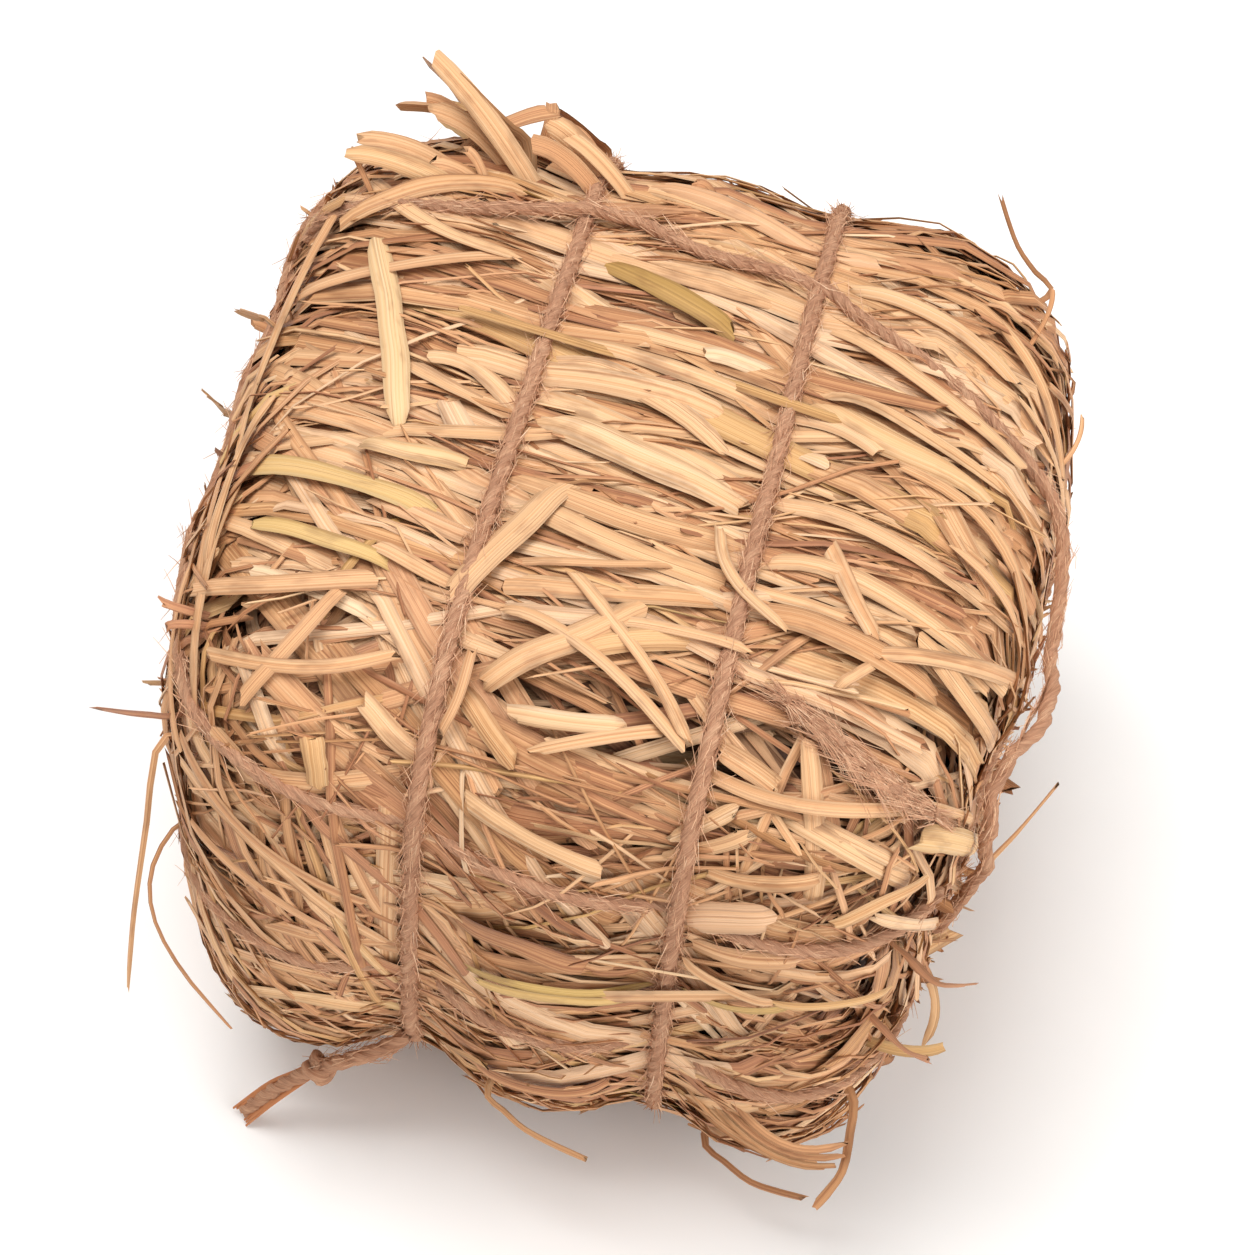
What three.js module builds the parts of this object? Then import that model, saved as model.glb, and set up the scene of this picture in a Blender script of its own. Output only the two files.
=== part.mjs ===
// A small bale of rice straw, tied by hand with jute twine.
// Millimetres, +Z up. The straws run along X, Y goes to the back,
// and the origin is the middle of the flat foot that the bale rests on.

import * as THREE from "three";

// Driving dimensions of the pressed straw
const HALF_LENGTH = 75;
const HALF_DEPTH = 92;
const HALF_HEIGHT = 66.5;
const FOOT_CUT = 2;
const SECTION_POWER = 4.4;
const END_POWER = 5.1;

// How far each end leans out at the back or draws in at the foot, and the swell of the right end
const LEFT_BACK = 10;
const LEFT_FOOT = 14;
const RIGHT_BACK = 5;
const RIGHT_FOOT = 2;
const RIGHT_SWELL = 10;
const RIGHT_FRONT = 8;

// How far the lower front edge is pulled in, which fades towards the right end
const EDGE_PULL = 14;
const EDGE_FADE = 0.7;

// Straw bundles that show as ridges, and the lumps of their cut ends
const STATIONS_AROUND = 64;
const STATIONS_ALONG = 40;
const RIDGE_HEIGHT = 1.8;
const RIDGE_WANDER = 0.35;
const END_LUMP = 3;

// Twine, and where the two girths bite into the straw
const TWINE_RADIUS = 2.1;
const TWINE_SIDES = 6;
const TWINE_CLEAR = 1.1;
const GIRTH_LEFT = -19;
const GIRTH_RIGHT = 28.7;
const GIRTH_RIGHT_LEAN = -0.012;
const BITE_TOP = 6;
const BITE_FOOT = 9.2;
const BITE_WIDTH = 9;
const WAIST_HEIGHT = 102;
const FOOT_HEIGHT = 57;
const TIE_SLOPE = -0.15;

// Loose straws
const STRAW_THICKNESS = 1;
const STRAW_CLEAR = 1.7;
const STRAW_STEPS = 4;

const MIDDLE = new THREE.Vector3(3, 0, HALF_HEIGHT - FOOT_CUT);
const DOWN = new THREE.Vector3(0, 0, -1);
const BACKWARD = new THREE.Vector3(0, 1, 0);
const REACH = 300;

const STRAW = new THREE.MeshStandardMaterial({ color: 0xd3a873, roughness: 0.8, metalness: 0 });
const PALE_STRAW = new THREE.MeshStandardMaterial({ color: 0xe8c795, roughness: 0.7, metalness: 0 });
const JUTE = new THREE.MeshStandardMaterial({ color: 0x9b7558, roughness: 0.95, metalness: 0 });

const bale = new THREE.Group();

function vector(x, y, z) {
  return new THREE.Vector3(x, y, z);
}

function addMesh(name, geometry, material) {
  const mesh = new THREE.Mesh(geometry, material);
  mesh.name = name;
  bale.add(mesh);
  return mesh;
}

// A point of the rounded square |a|^power + |b|^power = 1, seen at an angle.
function roundedSquare(angle, power) {
  const a = Math.cos(angle);
  const b = Math.sin(angle);
  const size = (Math.abs(a) ** power + Math.abs(b) ** power) ** (1 / power);
  return [a / size, b / size];
}

// The share of their full depth that the two girths have at a length x and a height share.
function bite(x, high) {
  const left = (x - GIRTH_LEFT) / BITE_WIDTH;
  const right = (x - GIRTH_RIGHT - GIRTH_RIGHT_LEAN * HALF_HEIGHT * high) / BITE_WIDTH;
  return Math.exp(-left * left) + Math.exp(-right * right);
}

// How far the lower front edge is drawn in, most of all where the front turns into the foot.
function edgePull(along, across, high) {
  const edge = Math.max(0, -across) * Math.max(0, -high);
  return EDGE_PULL * edge ** 2 * THREE.MathUtils.clamp(EDGE_FADE * (1 - along), 0, 1);
}

// Moves a row of vertices onto a girth that passes close by, so that the bite has its full depth.
function snapToGirth(along) {
  const near = (Math.PI * HALF_LENGTH) / STATIONS_ALONG / 2;
  const girth = [GIRTH_LEFT, GIRTH_RIGHT].find((x) => Math.abs(x - HALF_LENGTH * along) < near);
  return girth === undefined ? along : girth / HALF_LENGTH;
}

// The bale's skin: a rounded block whose ends lean and swell, pinched by the girths,
// with every other row of vertices raised into a ridge that wanders along the bale.
function balePoint(tilt, turn) {
  const step = (2 * Math.PI) / STATIONS_AROUND;
  const row = (Math.round(turn / step) + STATIONS_AROUND) % STATIONS_AROUND;
  const wander = RIDGE_WANDER * step * Math.sin(2.1 * row + 5 * tilt);
  const along = snapToGirth(roundedSquare(tilt, END_POWER)[1]);
  const reach = (1 - Math.abs(along) ** END_POWER) ** (1 / END_POWER);
  const [across, high] = roundedSquare(turn + wander, SECTION_POWER).map((v) => v * reach);
  const back = (1 + across) / 2;
  const low = (1 - high) / 2;
  const left = LEFT_BACK * back - LEFT_FOOT * low;
  const swell = (1 - across ** 2) * (RIGHT_SWELL * (1 - low) - RIGHT_FRONT * Math.max(0, -across));
  const right = RIGHT_BACK * back - RIGHT_FOOT * low + swell;
  const lump = END_LUMP * along ** 8 * Math.sin(13 * across + 1) * Math.sin(10 * high);
  const lean = along > 0 ? right + lump : -left - lump;
  const x = HALF_LENGTH * along + lean * along ** 2;
  const side = row % 2 ? 1 : -1;
  const share = bite(x, high);
  const ridge = RIDGE_HEIGHT * Math.max(0, 1 - share) * side * (0.65 + 0.35 * Math.sin(1.7 * row + 6 * tilt));
  const pinch = THREE.MathUtils.lerp(BITE_TOP, BITE_FOOT, low) * share;
  const press = pinch + edgePull(along, across, high) - ridge;
  const y = across * (HALF_DEPTH - press);
  const z = high * (HALF_HEIGHT - press) + HALF_HEIGHT - FOOT_CUT;
  return [x, y, Math.max(z, 0)];
}

function strawBale() {
  const geometry = new THREE.SphereGeometry(1, STATIONS_AROUND, STATIONS_ALONG);
  geometry.rotateZ(-Math.PI / 2);
  const at = geometry.getAttribute("position");
  for (let i = 0; i < at.count; i++) {
    const tilt = Math.asin(THREE.MathUtils.clamp(at.getX(i), -1, 1));
    const turn = Math.atan2(at.getZ(i), at.getY(i));
    at.setXYZ(i, ...balePoint(tilt, turn));
  }
  return addMesh("straw_bale", geometry, STRAW);
}

// Lets a line of points fall onto what is already there and pulls it taut:
// each point stays on its own ray, at least `clear` above the first thing met
// within `half` to either side, and never lower than between its neighbours.
function drape(points, fallAt, half, clear, closed) {
  const last = points.length - 1;
  const ray = new THREE.Raycaster();
  const before = (i) => (i > 0 ? i - 1 : closed ? last : 0);
  const after = (i) => (i < last ? i + 1 : closed ? 0 : last);
  const falls = points.map((p) => fallAt(p).normalize());
  const starts = points.map((p, i) => p.clone().addScaledVector(falls[i], -REACH));
  const limits = points.map((p, i) => {
    const tangent = points[after(i)].clone().sub(points[before(i)]);
    const side = tangent.cross(falls[i]).normalize();
    const met = [-1, 0, 1].map((k) => {
      ray.set(starts[i].clone().addScaledVector(side, k * half), falls[i]);
      return ray.intersectObjects(bale.children, false)[0]?.distance ?? 2 * REACH;
    });
    return Math.min(...met) - clear;
  });
  const drops = [...limits];
  const place = (i) => starts[i].clone().addScaledVector(falls[i], drops[i]);
  for (let round = 0; round < 60; round++) {
    for (let i = 0; i <= last; i++) {
      if (!closed && (i === 0 || i === last)) continue;
      const middle = place(before(i)).add(place(after(i))).multiplyScalar(0.5);
      drops[i] = Math.min(limits[i], middle.sub(starts[i]).dot(falls[i]));
    }
  }
  return points.map((_, i) => place(i));
}

// A closed loop of twine round the bale, in the plane of two directions through a centre.
function twineLoop(name, centre, first, second, steps) {
  const fine = 4 * steps;
  const circle = [];
  for (let i = 0; i < fine; i++) {
    const angle = (2 * Math.PI * i) / fine;
    const out = first.clone().multiplyScalar(Math.cos(angle)).addScaledVector(second, Math.sin(angle));
    circle.push(out.multiplyScalar(REACH / 2).add(centre));
  }
  const inward = (p) => centre.clone().sub(p);
  const line = drape(circle, inward, TWINE_RADIUS, TWINE_RADIUS + TWINE_CLEAR, true);
  const curve = new THREE.CatmullRomCurve3(line, true);
  const axis = first.clone().cross(second).normalize();
  const geometry = new THREE.TorusGeometry(1, 0.5, TWINE_SIDES, steps);
  const at = geometry.getAttribute("position");
  const rings = steps + 1;
  for (let i = 0; i < at.count; i++) {
    const share = (i % rings) / steps;
    const angle = (2 * Math.PI * Math.floor(i / rings)) / TWINE_SIDES;
    const out = curve.getTangentAt(share % 1).cross(axis).normalize();
    const point = curve.getPointAt(share % 1);
    point.addScaledVector(out, TWINE_RADIUS * Math.cos(angle));
    point.addScaledVector(axis, TWINE_RADIUS * Math.sin(angle));
    at.setXYZ(i, point.x, point.y, point.z);
  }
  addMesh(name, geometry, JUTE);
}

// A tube of twine along a line of points, with cut ends.
function twineTube(name, points, steps) {
  const section = new THREE.Shape();
  section.absarc(0, 0, TWINE_RADIUS, 0, 2 * Math.PI);
  const geometry = new THREE.ExtrudeGeometry(section, {
    steps,
    curveSegments: TWINE_SIDES + 1,
    extrudePath: new THREE.CatmullRomCurve3(points),
  });
  addMesh(name, geometry, JUTE);
}

// A piece of twine that is laid over the bale through a few points and ends under the straw.
function twineOver(name, points, fallAt, slackAt, steps) {
  const line = new THREE.CatmullRomCurve3(points).getPoints(4 * steps);
  const laid = drape(line, fallAt, TWINE_RADIUS, TWINE_RADIUS + TWINE_CLEAR, false);
  const loose = laid.map((p) => p.clone().addScaledVector(fallAt(p).normalize(), -slackAt(p)));
  twineTube(name, loose, steps);
}

// A flat straw along a line of points, widest in the middle, with its face towards `face`.
function strawRibbon(name, points, face, width) {
  const curve = new THREE.CatmullRomCurve3(points);
  const geometry = new THREE.BoxGeometry(1, 1, 1, STRAW_STEPS, 1, 1);
  const at = geometry.getAttribute("position");
  for (let i = 0; i < at.count; i++) {
    const share = at.getX(i) + 0.5;
    const tangent = curve.getTangent(share);
    const side = face.clone().cross(tangent).normalize();
    const up = tangent.clone().cross(side);
    const taper = 0.55 + 0.45 * Math.sin(Math.PI * share);
    const point = curve.getPoint(share);
    point.addScaledVector(side, at.getY(i) * width * taper);
    point.addScaledVector(up, at.getZ(i) * STRAW_THICKNESS);
    at.setXYZ(i, point.x, point.y, point.z);
  }
  addMesh(name, geometry, PALE_STRAW);
}

// A straw that lies on the bale, pressed down in one direction.
function laidStraw(name, width, fall, ...points) {
  const line = new THREE.CatmullRomCurve3(points.map((p) => vector(...p))).getPoints(10);
  const clear = STRAW_CLEAR + STRAW_THICKNESS / 2;
  const laid = drape(line, () => fall.clone(), width / 2, clear, false);
  strawRibbon(name, laid, fall.clone().negate(), width);
}

// A straw that grows out of the bale's skin at its first point and stands free after it.
function strayStraw(name, width, ...points) {
  const [root, ...free] = points.map((p) => vector(...p));
  const clear = STRAW_CLEAR / 2 + width / 5;
  const [foot] = drape([root, free[0]], (p) => MIDDLE.clone().sub(p), width / 2, clear, false);
  const run = free[free.length - 1].clone().sub(foot);
  const face = run.clone().cross(vector(0.3, 1, 0.6)).cross(run);
  strawRibbon(name, [foot, ...free], face, width);
}

strawBale();

// Twine round the bale: the two girths first, then the ties that cross over them
const upright = vector(0, 0, 1);
const leaning = vector(GIRTH_RIGHT_LEAN, 0, 1).normalize();
const sloping = vector(1, 0, TIE_SLOPE).normalize();
twineLoop("girth_twine_left", vector(GIRTH_LEFT, 0, MIDDLE.z), BACKWARD, upright, 46);
twineLoop("girth_twine_right", vector(GIRTH_RIGHT, 0, MIDDLE.z), BACKWARD, leaning, 46);
twineLoop("waist_twine", vector(0, 0, WAIST_HEIGHT), sloping, BACKWARD, 46);
twineLoop("foot_twine", vector(0, 0, FOOT_HEIGHT), sloping, BACKWARD, 46);

// The cross twine comes up the left end, over the back of the top and down the right end,
// where it stands off in a slack bend and then hangs taut along the front of that end.
const crossRoute = [
  vector(-84, 41, 122),
  vector(-70, 42, 132),
  vector(-37, 43, 140),
  vector(-17, 50, 140),
  vector(5, 43, 140),
  vector(29, 42, 140),
  vector(46, 30, 140),
  vector(66, 20, 135),
  vector(84, 4, 112),
  vector(86, -16, 106),
  vector(84, -36, 106),
  vector(81, -50, 105),
  vector(79, -57, 95),
  vector(78, -58, 80),
  vector(77, -56, 65),
];
const crossSlack = (p) => 5 * Math.exp(-(((p.y + 34) / 9) ** 2));
twineOver("cross_twine", crossRoute, (p) => vector(5 - p.x, 0, 60 - p.z), crossSlack, 35);

const cornerRoute = [
  vector(36, -60, 130),
  vector(53, -69, 126),
  vector(64, -71, 119),
  vector(75, -68, 112),
];
const noSlack = () => 0;
twineOver("corner_twine", cornerRoute, (p) => vector(30 - p.x, -30 - p.y, 60 - p.z), noSlack, 8);

// The free tail of the left girth: a twisted stretch, a knot and a flattened tip on the ground
const KNOT_RADIUS = 3.6;
const knotAt = vector(-35.8, -86.4, 22.7);
const tailRoute = [
  vector(-21.5, -84.9, 34.2),
  vector(-25.7, -86.2, 31.4),
  vector(-29.2, -86.6, 28.6),
  vector(-32.4, -86.5, 25.7),
];
const tipRoute = [
  vector(-38.5, -86.4, 19.8),
  vector(-44.6, -86.3, 11.6),
  vector(-50.6, -86.2, 1.8),
];
twineTube("tail_twine", tailRoute, 5);
const knot = addMesh("tail_knot", new THREE.SphereGeometry(KNOT_RADIUS, 10, 7), JUTE);
knot.position.copy(knotAt);
knot.scale.set(1, 0.85, 0.8);
strawRibbon("tail_tip", tipRoute, vector(0, -1, 1), 5);

// Straws that lie on the top and the front
laidStraw("straw_yellow_left", 5, DOWN, [-59, 33, 140], [-49, 4, 140], [-41, -19, 140]);
laidStraw("straw_folded_leg", 4, DOWN, [-47, -26, 140], [-38, -27, 140], [-26, -24, 140]);
laidStraw("straw_broad_middle", 6, DOWN, [-35, 4, 140], [-8, 3, 140], [19, 0, 140]);
laidStraw("straw_cream_broad", 6, DOWN, [-15, -9, 140], [5, -17, 140], [24, -20, 140]);
laidStraw("straw_over_girth", 6, DOWN, [-8, -27, 140], [-15, -42, 140], [-22, -56, 140]);
laidStraw("straw_olive", 5, DOWN, [-12, 37, 140], [0, 30, 140], [14, 24, 140]);
laidStraw("straw_green_left", 5, DOWN, [-66, -31, 140], [-46, -36, 140], [-30, -38, 140]);
laidStraw("straw_yellow_thin", 3, DOWN, [-62, -47, 140], [-47, -51, 140], [-34, -53, 140]);
laidStraw("straw_beige_slanted", 5, DOWN, [-12, -70, 140], [1, -63, 140], [12, -52, 140]);
laidStraw("straw_right_back", 6, DOWN, [34, 9, 140], [51, 0, 140], [70, -4, 140]);
laidStraw("straw_right_front", 6, DOWN, [33, -44, 140], [49, -50, 140], [66, -52, 140]);
laidStraw("straw_far_top", 5, DOWN, [-8, 66, 140], [14, 58, 140], [40, 55, 140]);
laidStraw("straw_left_back", 5, DOWN, [-72, 42, 140], [-54, 50, 140], [-34, 56, 140]);
laidStraw("straw_front_cream", 5, BACKWARD, [-10, -100, 84], [2, -100, 85], [14, -100, 80]);
laidStraw("straw_front_low", 4, BACKWARD, [-6, -100, 40], [8, -100, 38], [20, -100, 39]);

// Straws that stick out
strayStraw("stray_left_bent", 3, [-67.9, -70.3, 92.2], [-68.4, -93, 72], [-66.7, -103.5, 62.5]);
strayStraw("stray_left_orange", 2.5, [-66.2, -73.1, 102.8], [-74, -74.4, 102.5], [-79.3, -75, 102.6]);
strayStraw("stray_left_hair", 2, [-64, -75, 76], [-69, -84, 66.5], [-63, -91, 57], [-50, -98, 48]);
strayStraw("stray_front_low", 2.5, [-2, -86, 33], [6, -94, 29], [18, -95, 25]);
strayStraw("stray_front_middle", 2.5, [39.7, -82.4, 18], [49.3, -87.5, 17.8], [59.8, -88, 16.9]);
strayStraw("stray_front_right", 2.5, [65, -80, 42], [66, -91, 34], [62, -97, 28]);
strayStraw("stray_right_stick", 2.5, [79, -48, 74], [84.7, -41.2, 79.3], [90.2, -33.4, 85.7]);
strayStraw("stray_right_flat", 3.5, [68.6, -77.5, 84.6], [75.2, -80, 81.5], [81, -79, 82]);
strayStraw("stray_right_leaf", 4, [67.1, -78.9, 64.1], [72.6, -81, 61.5], [77.4, -81.5, 60.5]);
strayStraw("stray_top_thin", 2, [70.9, 64.4, 116.8], [64.5, 71.8, 122.3], [59, 77.5, 129.6]);
strayStraw("tuft_broad", 6, [-33.1, 62.2, 125.2], [-42.4, 68.7, 133], [-53.2, 73.3, 138.5]);
strayStraw("tuft_low", 5, [-43.7, 67.9, 124.7], [-53.9, 71.5, 129.5], [-62.9, 70.2, 129.3]);
strayStraw("tuft_side", 4, [-47.6, 78.2, 118.9], [-55.1, 83.9, 126], [-61.3, 86.7, 129]);
strayStraw("tuft_back", 6, [-20, 76, 116], [-26.5, 82, 122], [-33.4, 84.5, 124.5]);
strayStraw("stub_left_back", 4, [-71.7, 11.7, 118.9], [-76, 12, 120.5], [-79.5, 11.8, 121.5]);
strayStraw("stub_left_middle", 4, [-75, 0, 104], [-80, 1, 106], [-83, 2, 107.5]);
strayStraw("stub_back_left", 4, [-40, 90, 70], [-46, 98, 76], [-54, 101, 78]);
strayStraw("stub_back_right", 4, [44, 90, 62], [52, 98, 70], [58, 101, 76]);

export default bale;
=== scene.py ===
# %% [markdown]
# # A small tied bale of rice straw
# The real thing is a block of pressed rice straw, about as big as a loaf of bread, tied by hand with
# jute twine. Its look is a few thousand flattened straws that lie over each other, so this lesson makes
# one straw well, as a grid of points, and then lays many of them with whole numpy arrays.

# %% Frame
import bpy
import numpy as np
from mathutils import Matrix, Vector
from mathutils.bvhtree import BVHTree


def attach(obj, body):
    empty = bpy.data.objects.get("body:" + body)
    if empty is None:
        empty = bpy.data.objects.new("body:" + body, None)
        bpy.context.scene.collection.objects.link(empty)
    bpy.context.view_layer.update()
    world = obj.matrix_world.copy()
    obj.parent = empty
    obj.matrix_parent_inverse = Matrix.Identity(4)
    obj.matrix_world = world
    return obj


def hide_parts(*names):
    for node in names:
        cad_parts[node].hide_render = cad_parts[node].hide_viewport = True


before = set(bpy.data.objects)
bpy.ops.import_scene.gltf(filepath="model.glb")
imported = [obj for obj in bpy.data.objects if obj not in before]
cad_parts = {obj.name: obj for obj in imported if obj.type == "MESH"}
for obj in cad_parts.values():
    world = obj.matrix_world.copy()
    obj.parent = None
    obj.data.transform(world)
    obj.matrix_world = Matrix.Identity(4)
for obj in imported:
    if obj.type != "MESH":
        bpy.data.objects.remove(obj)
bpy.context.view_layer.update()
MM = 0.001

# %% [markdown]
# ## The camera
# The photograph looks down on the bale from the front, a little from the right, and was taken slightly
# turned. A camera is placed by three directions: right, up and back. Turning right and up about the
# view is the roll. The small shift puts the bale where the photograph has it in its square frame.
# The same numbers also turn a pixel of the photograph into a ray, which is used later to lay straws.

# %% Camera
PHOTO_SIDE = 1255
VIEW_ANGLE = np.radians(22)
FOCAL = PHOTO_SIDE / 2 / np.tan(VIEW_ANGLE / 2)
AZIMUTH, ELEVATION, ROLL = np.radians([7.3, 48.0, 6.1])
VIEW_DISTANCE = 0.642
AIM = np.array([0, 0, 0.0665])
AIM_PIXEL = np.array([609.0, 630.0])


def show(name, data):
    """An object that holds this data, linked to the scene."""
    made = bpy.data.objects.new(name, data)
    bpy.context.scene.collection.objects.link(made)
    return made


view_back = np.array(
    [np.sin(AZIMUTH) * np.cos(ELEVATION), -np.cos(AZIMUTH) * np.cos(ELEVATION), np.sin(ELEVATION)]
)
level = np.array([np.cos(AZIMUTH), np.sin(AZIMUTH), 0])
plumb = np.cross(view_back, level)
view_right = np.cos(ROLL) * level + np.sin(ROLL) * plumb
view_up = np.cos(ROLL) * plumb - np.sin(ROLL) * level
eye = AIM + VIEW_DISTANCE * view_back

camera_data = bpy.data.cameras.new("photo_camera")
camera_data.sensor_fit = "HORIZONTAL"
camera_data.angle = VIEW_ANGLE
camera_data.shift_x = (PHOTO_SIDE / 2 - AIM_PIXEL[0]) / PHOTO_SIDE
camera_data.shift_y = (AIM_PIXEL[1] - PHOTO_SIDE / 2) / PHOTO_SIDE
camera = show("photo_camera", camera_data)
axes = Matrix(np.column_stack([view_right, view_up, view_back]).tolist())
camera.matrix_world = Matrix.Translation(Vector(eye)) @ axes.to_4x4()
bpy.context.scene.camera = camera
bpy.context.scene.view_settings.view_transform = "Standard"


def unit(vectors):
    """Each vector divided by its own length."""
    return vectors / np.maximum(np.linalg.norm(vectors, axis=-1, keepdims=True), 1e-12)


def photo_rays(pixels):
    """Unit directions from the eye through pixels of the photograph: back is left by one focal length,
    and each pixel adds its distance from the aim along the camera's right and down."""
    right, down = np.moveaxis((np.asarray(pixels, float) - AIM_PIXEL) / FOCAL, -1, 0)
    return unit(right[..., None] * view_right - down[..., None] * view_up - view_back)


print("camera at", eye.round(3), "metres")

# %% [markdown]
# ## The bale's form, read from the frame
# Every straw lies on the pressed straw, so its form has to be known everywhere. It could be written as
# a formula again, but the frame already holds it. Rays from the bale's middle measure how far its skin
# is in each direction, and the distances form a map of radius against two angles. A little smoothing
# of the map takes the facets away, and any point can then be put on the skin at once.

# %% Radius map
MIDDLE = np.array([3.0, 0.0, 64.5]) * MM
TURNS, TILTS = 240, 121
SMOOTHING = 6


def node_points(node):
    """All vertices of a node's mesh."""
    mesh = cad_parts[node].data
    points = np.zeros(len(mesh.vertices) * 3)
    mesh.vertices.foreach_get("co", points)
    return points.reshape(-1, 3)


def round_angles(count):
    """Equal angles once round."""
    return np.linspace(0, 2 * np.pi, count, endpoint=False)


def angle_grid(tilts, turns):
    """Tilts from the left pole to the right one, turns round the straws, and each pair's direction: the
    tilt's sine along the straws, and its cosine shared out between back and up by the turn."""
    tilt, turn = np.meshgrid(np.linspace(-np.pi / 2, np.pi / 2, tilts), round_angles(turns), indexing="ij")
    out = np.stack([np.sin(tilt), np.cos(tilt) * np.cos(turn), np.cos(tilt) * np.sin(turn)], -1)
    return tilt, turn, out


def read_radius_map(node, out):
    """Distance from MIDDLE to the node's skin along each direction of a grid."""
    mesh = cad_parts[node].data
    corners = np.zeros(len(mesh.loops), int)
    mesh.loops.foreach_get("vertex_index", corners)
    tree = BVHTree.FromPolygons(node_points(node).tolist(), corners.reshape(-1, 3).tolist())
    hits = [tree.ray_cast(MIDDLE, direction)[3] for direction in out.reshape(-1, 3)]
    return np.array(hits).reshape(out.shape[:2])


def smoothed(grid, rounds):
    """Each value mixed with its neighbours, round and round the turns and up to the poles."""
    for _ in range(rounds):
        grid = (np.roll(grid, 1, 1) + 2 * grid + np.roll(grid, -1, 1)) / 4
        inner = np.pad(grid, ((1, 1), (0, 0)), mode="edge")
        grid = (inner[:-2] + 2 * grid + inner[2:]) / 4
    return grid


_, _, map_out = angle_grid(TILTS, TURNS)
radius_map = smoothed(read_radius_map("straw_bale", map_out), SMOOTHING)
print("skin from", radius_map.min().round(4), "to", radius_map.max().round(4), "metres from the middle")

# %% [markdown]
# ## Filled grooves and worn edges
# The solid's grooves are deep enough for a smooth tube. On the real bale loose straw fills them, mostly on
# the top, and a few edges are worn back. Both are bumps and dents in the map, shaped as bell curves.

# %% Filled grooves and worn edges
GIRTHS = np.array([-19.0, 28.7]) * MM
GROOVE_WIDTH = 8 * MM
FILL_FOOT, FILL_TOP = 0.2 * MM, 4.2 * MM
# places where the pressed straw is worn, in mm: middle, reach in each direction and depth
WORN = [
    ((84, -58, 62), (18, 36, 34), 2.5),
    ((84, 10, 100), (14, 60, 40), 2.5),
    ((-78, 30, 90), (14, 70, 60), 1.5),
]


def bell(x):
    """A bell curve, 1 in its middle: e to the power of minus x squared."""
    return np.exp(-(x**2))


def near_girth(x):
    """Close to 1 under a girth twine, falling to 0 on both sides of it as a bell curve."""
    return bell((x[..., None] - GIRTHS) / GROOVE_WIDTH).sum(-1)


skin = MIDDLE + map_out * radius_map[..., None]
fill = FILL_FOOT + (FILL_TOP - FILL_FOOT) * (skin[..., 2] / (2 * MIDDLE[2])) ** 2
radius_map = radius_map + fill * near_girth(skin[..., 0])
skin = MIDDLE + map_out * radius_map[..., None]
for place, reach, depth in WORN:
    away = (skin - np.array(place) * MM) / (np.array(reach) * MM)
    radius_map = radius_map - depth * MM * bell(np.linalg.norm(away, axis=-1))
print("filled and worn skin up to", radius_map.max().round(4), "metres from the middle")

# %% [markdown]
# ## Points on the skin
# With the map, a point's height over the skin is its distance from the middle less the map's value in that
# direction. Everything else follows from height: its slope is the outward direction, and the first place
# along a camera ray where it turns negative is where a pixel of the photograph meets the bale.

# %% Points on the skin
SLOPE_STEP = 2 * MM
RAY_REACH, RAY_STEPS = 0.16, 500


def radius(directions):
    """The map's value in each direction, between its four nearest angles."""
    turn = np.arctan2(directions[..., 2], directions[..., 1]) / (2 * np.pi) % 1 * TURNS
    tilt = (np.arcsin(np.clip(directions[..., 0], -1, 1)) / np.pi + 0.5) * (TILTS - 1)
    low = np.clip(np.floor(tilt).astype(int), 0, TILTS - 2)
    left = np.floor(turn).astype(int) % TURNS
    up, along = tilt - low, turn - np.floor(turn)
    near = radius_map[low, left] * (1 - along) + radius_map[low, (left + 1) % TURNS] * along
    far = radius_map[low + 1, left] * (1 - along) + radius_map[low + 1, (left + 1) % TURNS] * along
    return near * (1 - up) + far * up


def height(points):
    """How far points stand outside the skin, along the line from the middle."""
    away = points - MIDDLE
    return np.linalg.norm(away, axis=-1) - radius(unit(away))


def on_skin(points):
    """Points moved along the line from the middle until they are on the skin."""
    out = unit(points - MIDDLE)
    return MIDDLE + out * radius(out)[..., None]


def outward(points):
    """The skin's outward direction: the slope of height, from a step each way along three axes."""
    step = SLOPE_STEP * np.eye(3)
    slope = [height(points + step[axis]) - height(points - step[axis]) for axis in range(3)]
    return unit(np.stack(slope, -1))


def photo_on_skin(pixels):
    """Where pixels of the photograph meet the skin: the first of many steps along each ray that is inside."""
    rays = photo_rays(pixels)
    depth = np.linspace(VIEW_DISTANCE - RAY_REACH, VIEW_DISTANCE + RAY_REACH, RAY_STEPS)
    inside = height(eye + rays[..., None, :] * depth[:, None]) < 0
    first = np.where(inside.any(-1), inside.argmax(-1), RAY_STEPS // 2)
    return on_skin(eye + rays * depth[first][..., None])


print("the aim meets the skin at", photo_on_skin(AIM_PIXEL).round(3), "metres")

# %% [markdown]
# ## From a profile and a path to a grid of points
# A straw, a ply of twine and a loose fibre are all the same kind of shape: a closed profile carried along
# a path. One function does that for many paths at once, and a tube is the same with a circle as profile.

# %% Sweeps


def tangents(path, closed=False):
    """Unit directions along paths: from the point before to the point after, over the join if closed."""
    ahead = np.roll(path, -1, -2) - np.roll(path, 1, -2) if closed else np.gradient(path, axis=-2)
    return unit(ahead)


def run_along(path):
    """Length run along each path up to each of its points."""
    return np.linalg.norm(np.diff(path, axis=-2, prepend=path[..., :1, :]), axis=-1).cumsum(-1)


def sweep(path, up, across, rise, closed=False):
    """Profiles carried along paths. A point is its path's point, plus `across` along the side and `rise`
    along the raised direction; side is up x tangent. Arrays go by straw, station and profile point."""
    tangent = tangents(path, closed)
    side = unit(np.cross(up, tangent))
    over = np.cross(tangent, side)
    return path[:, :, None] + across[..., None] * side[:, :, None] + rise[..., None] * over[:, :, None]


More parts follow.
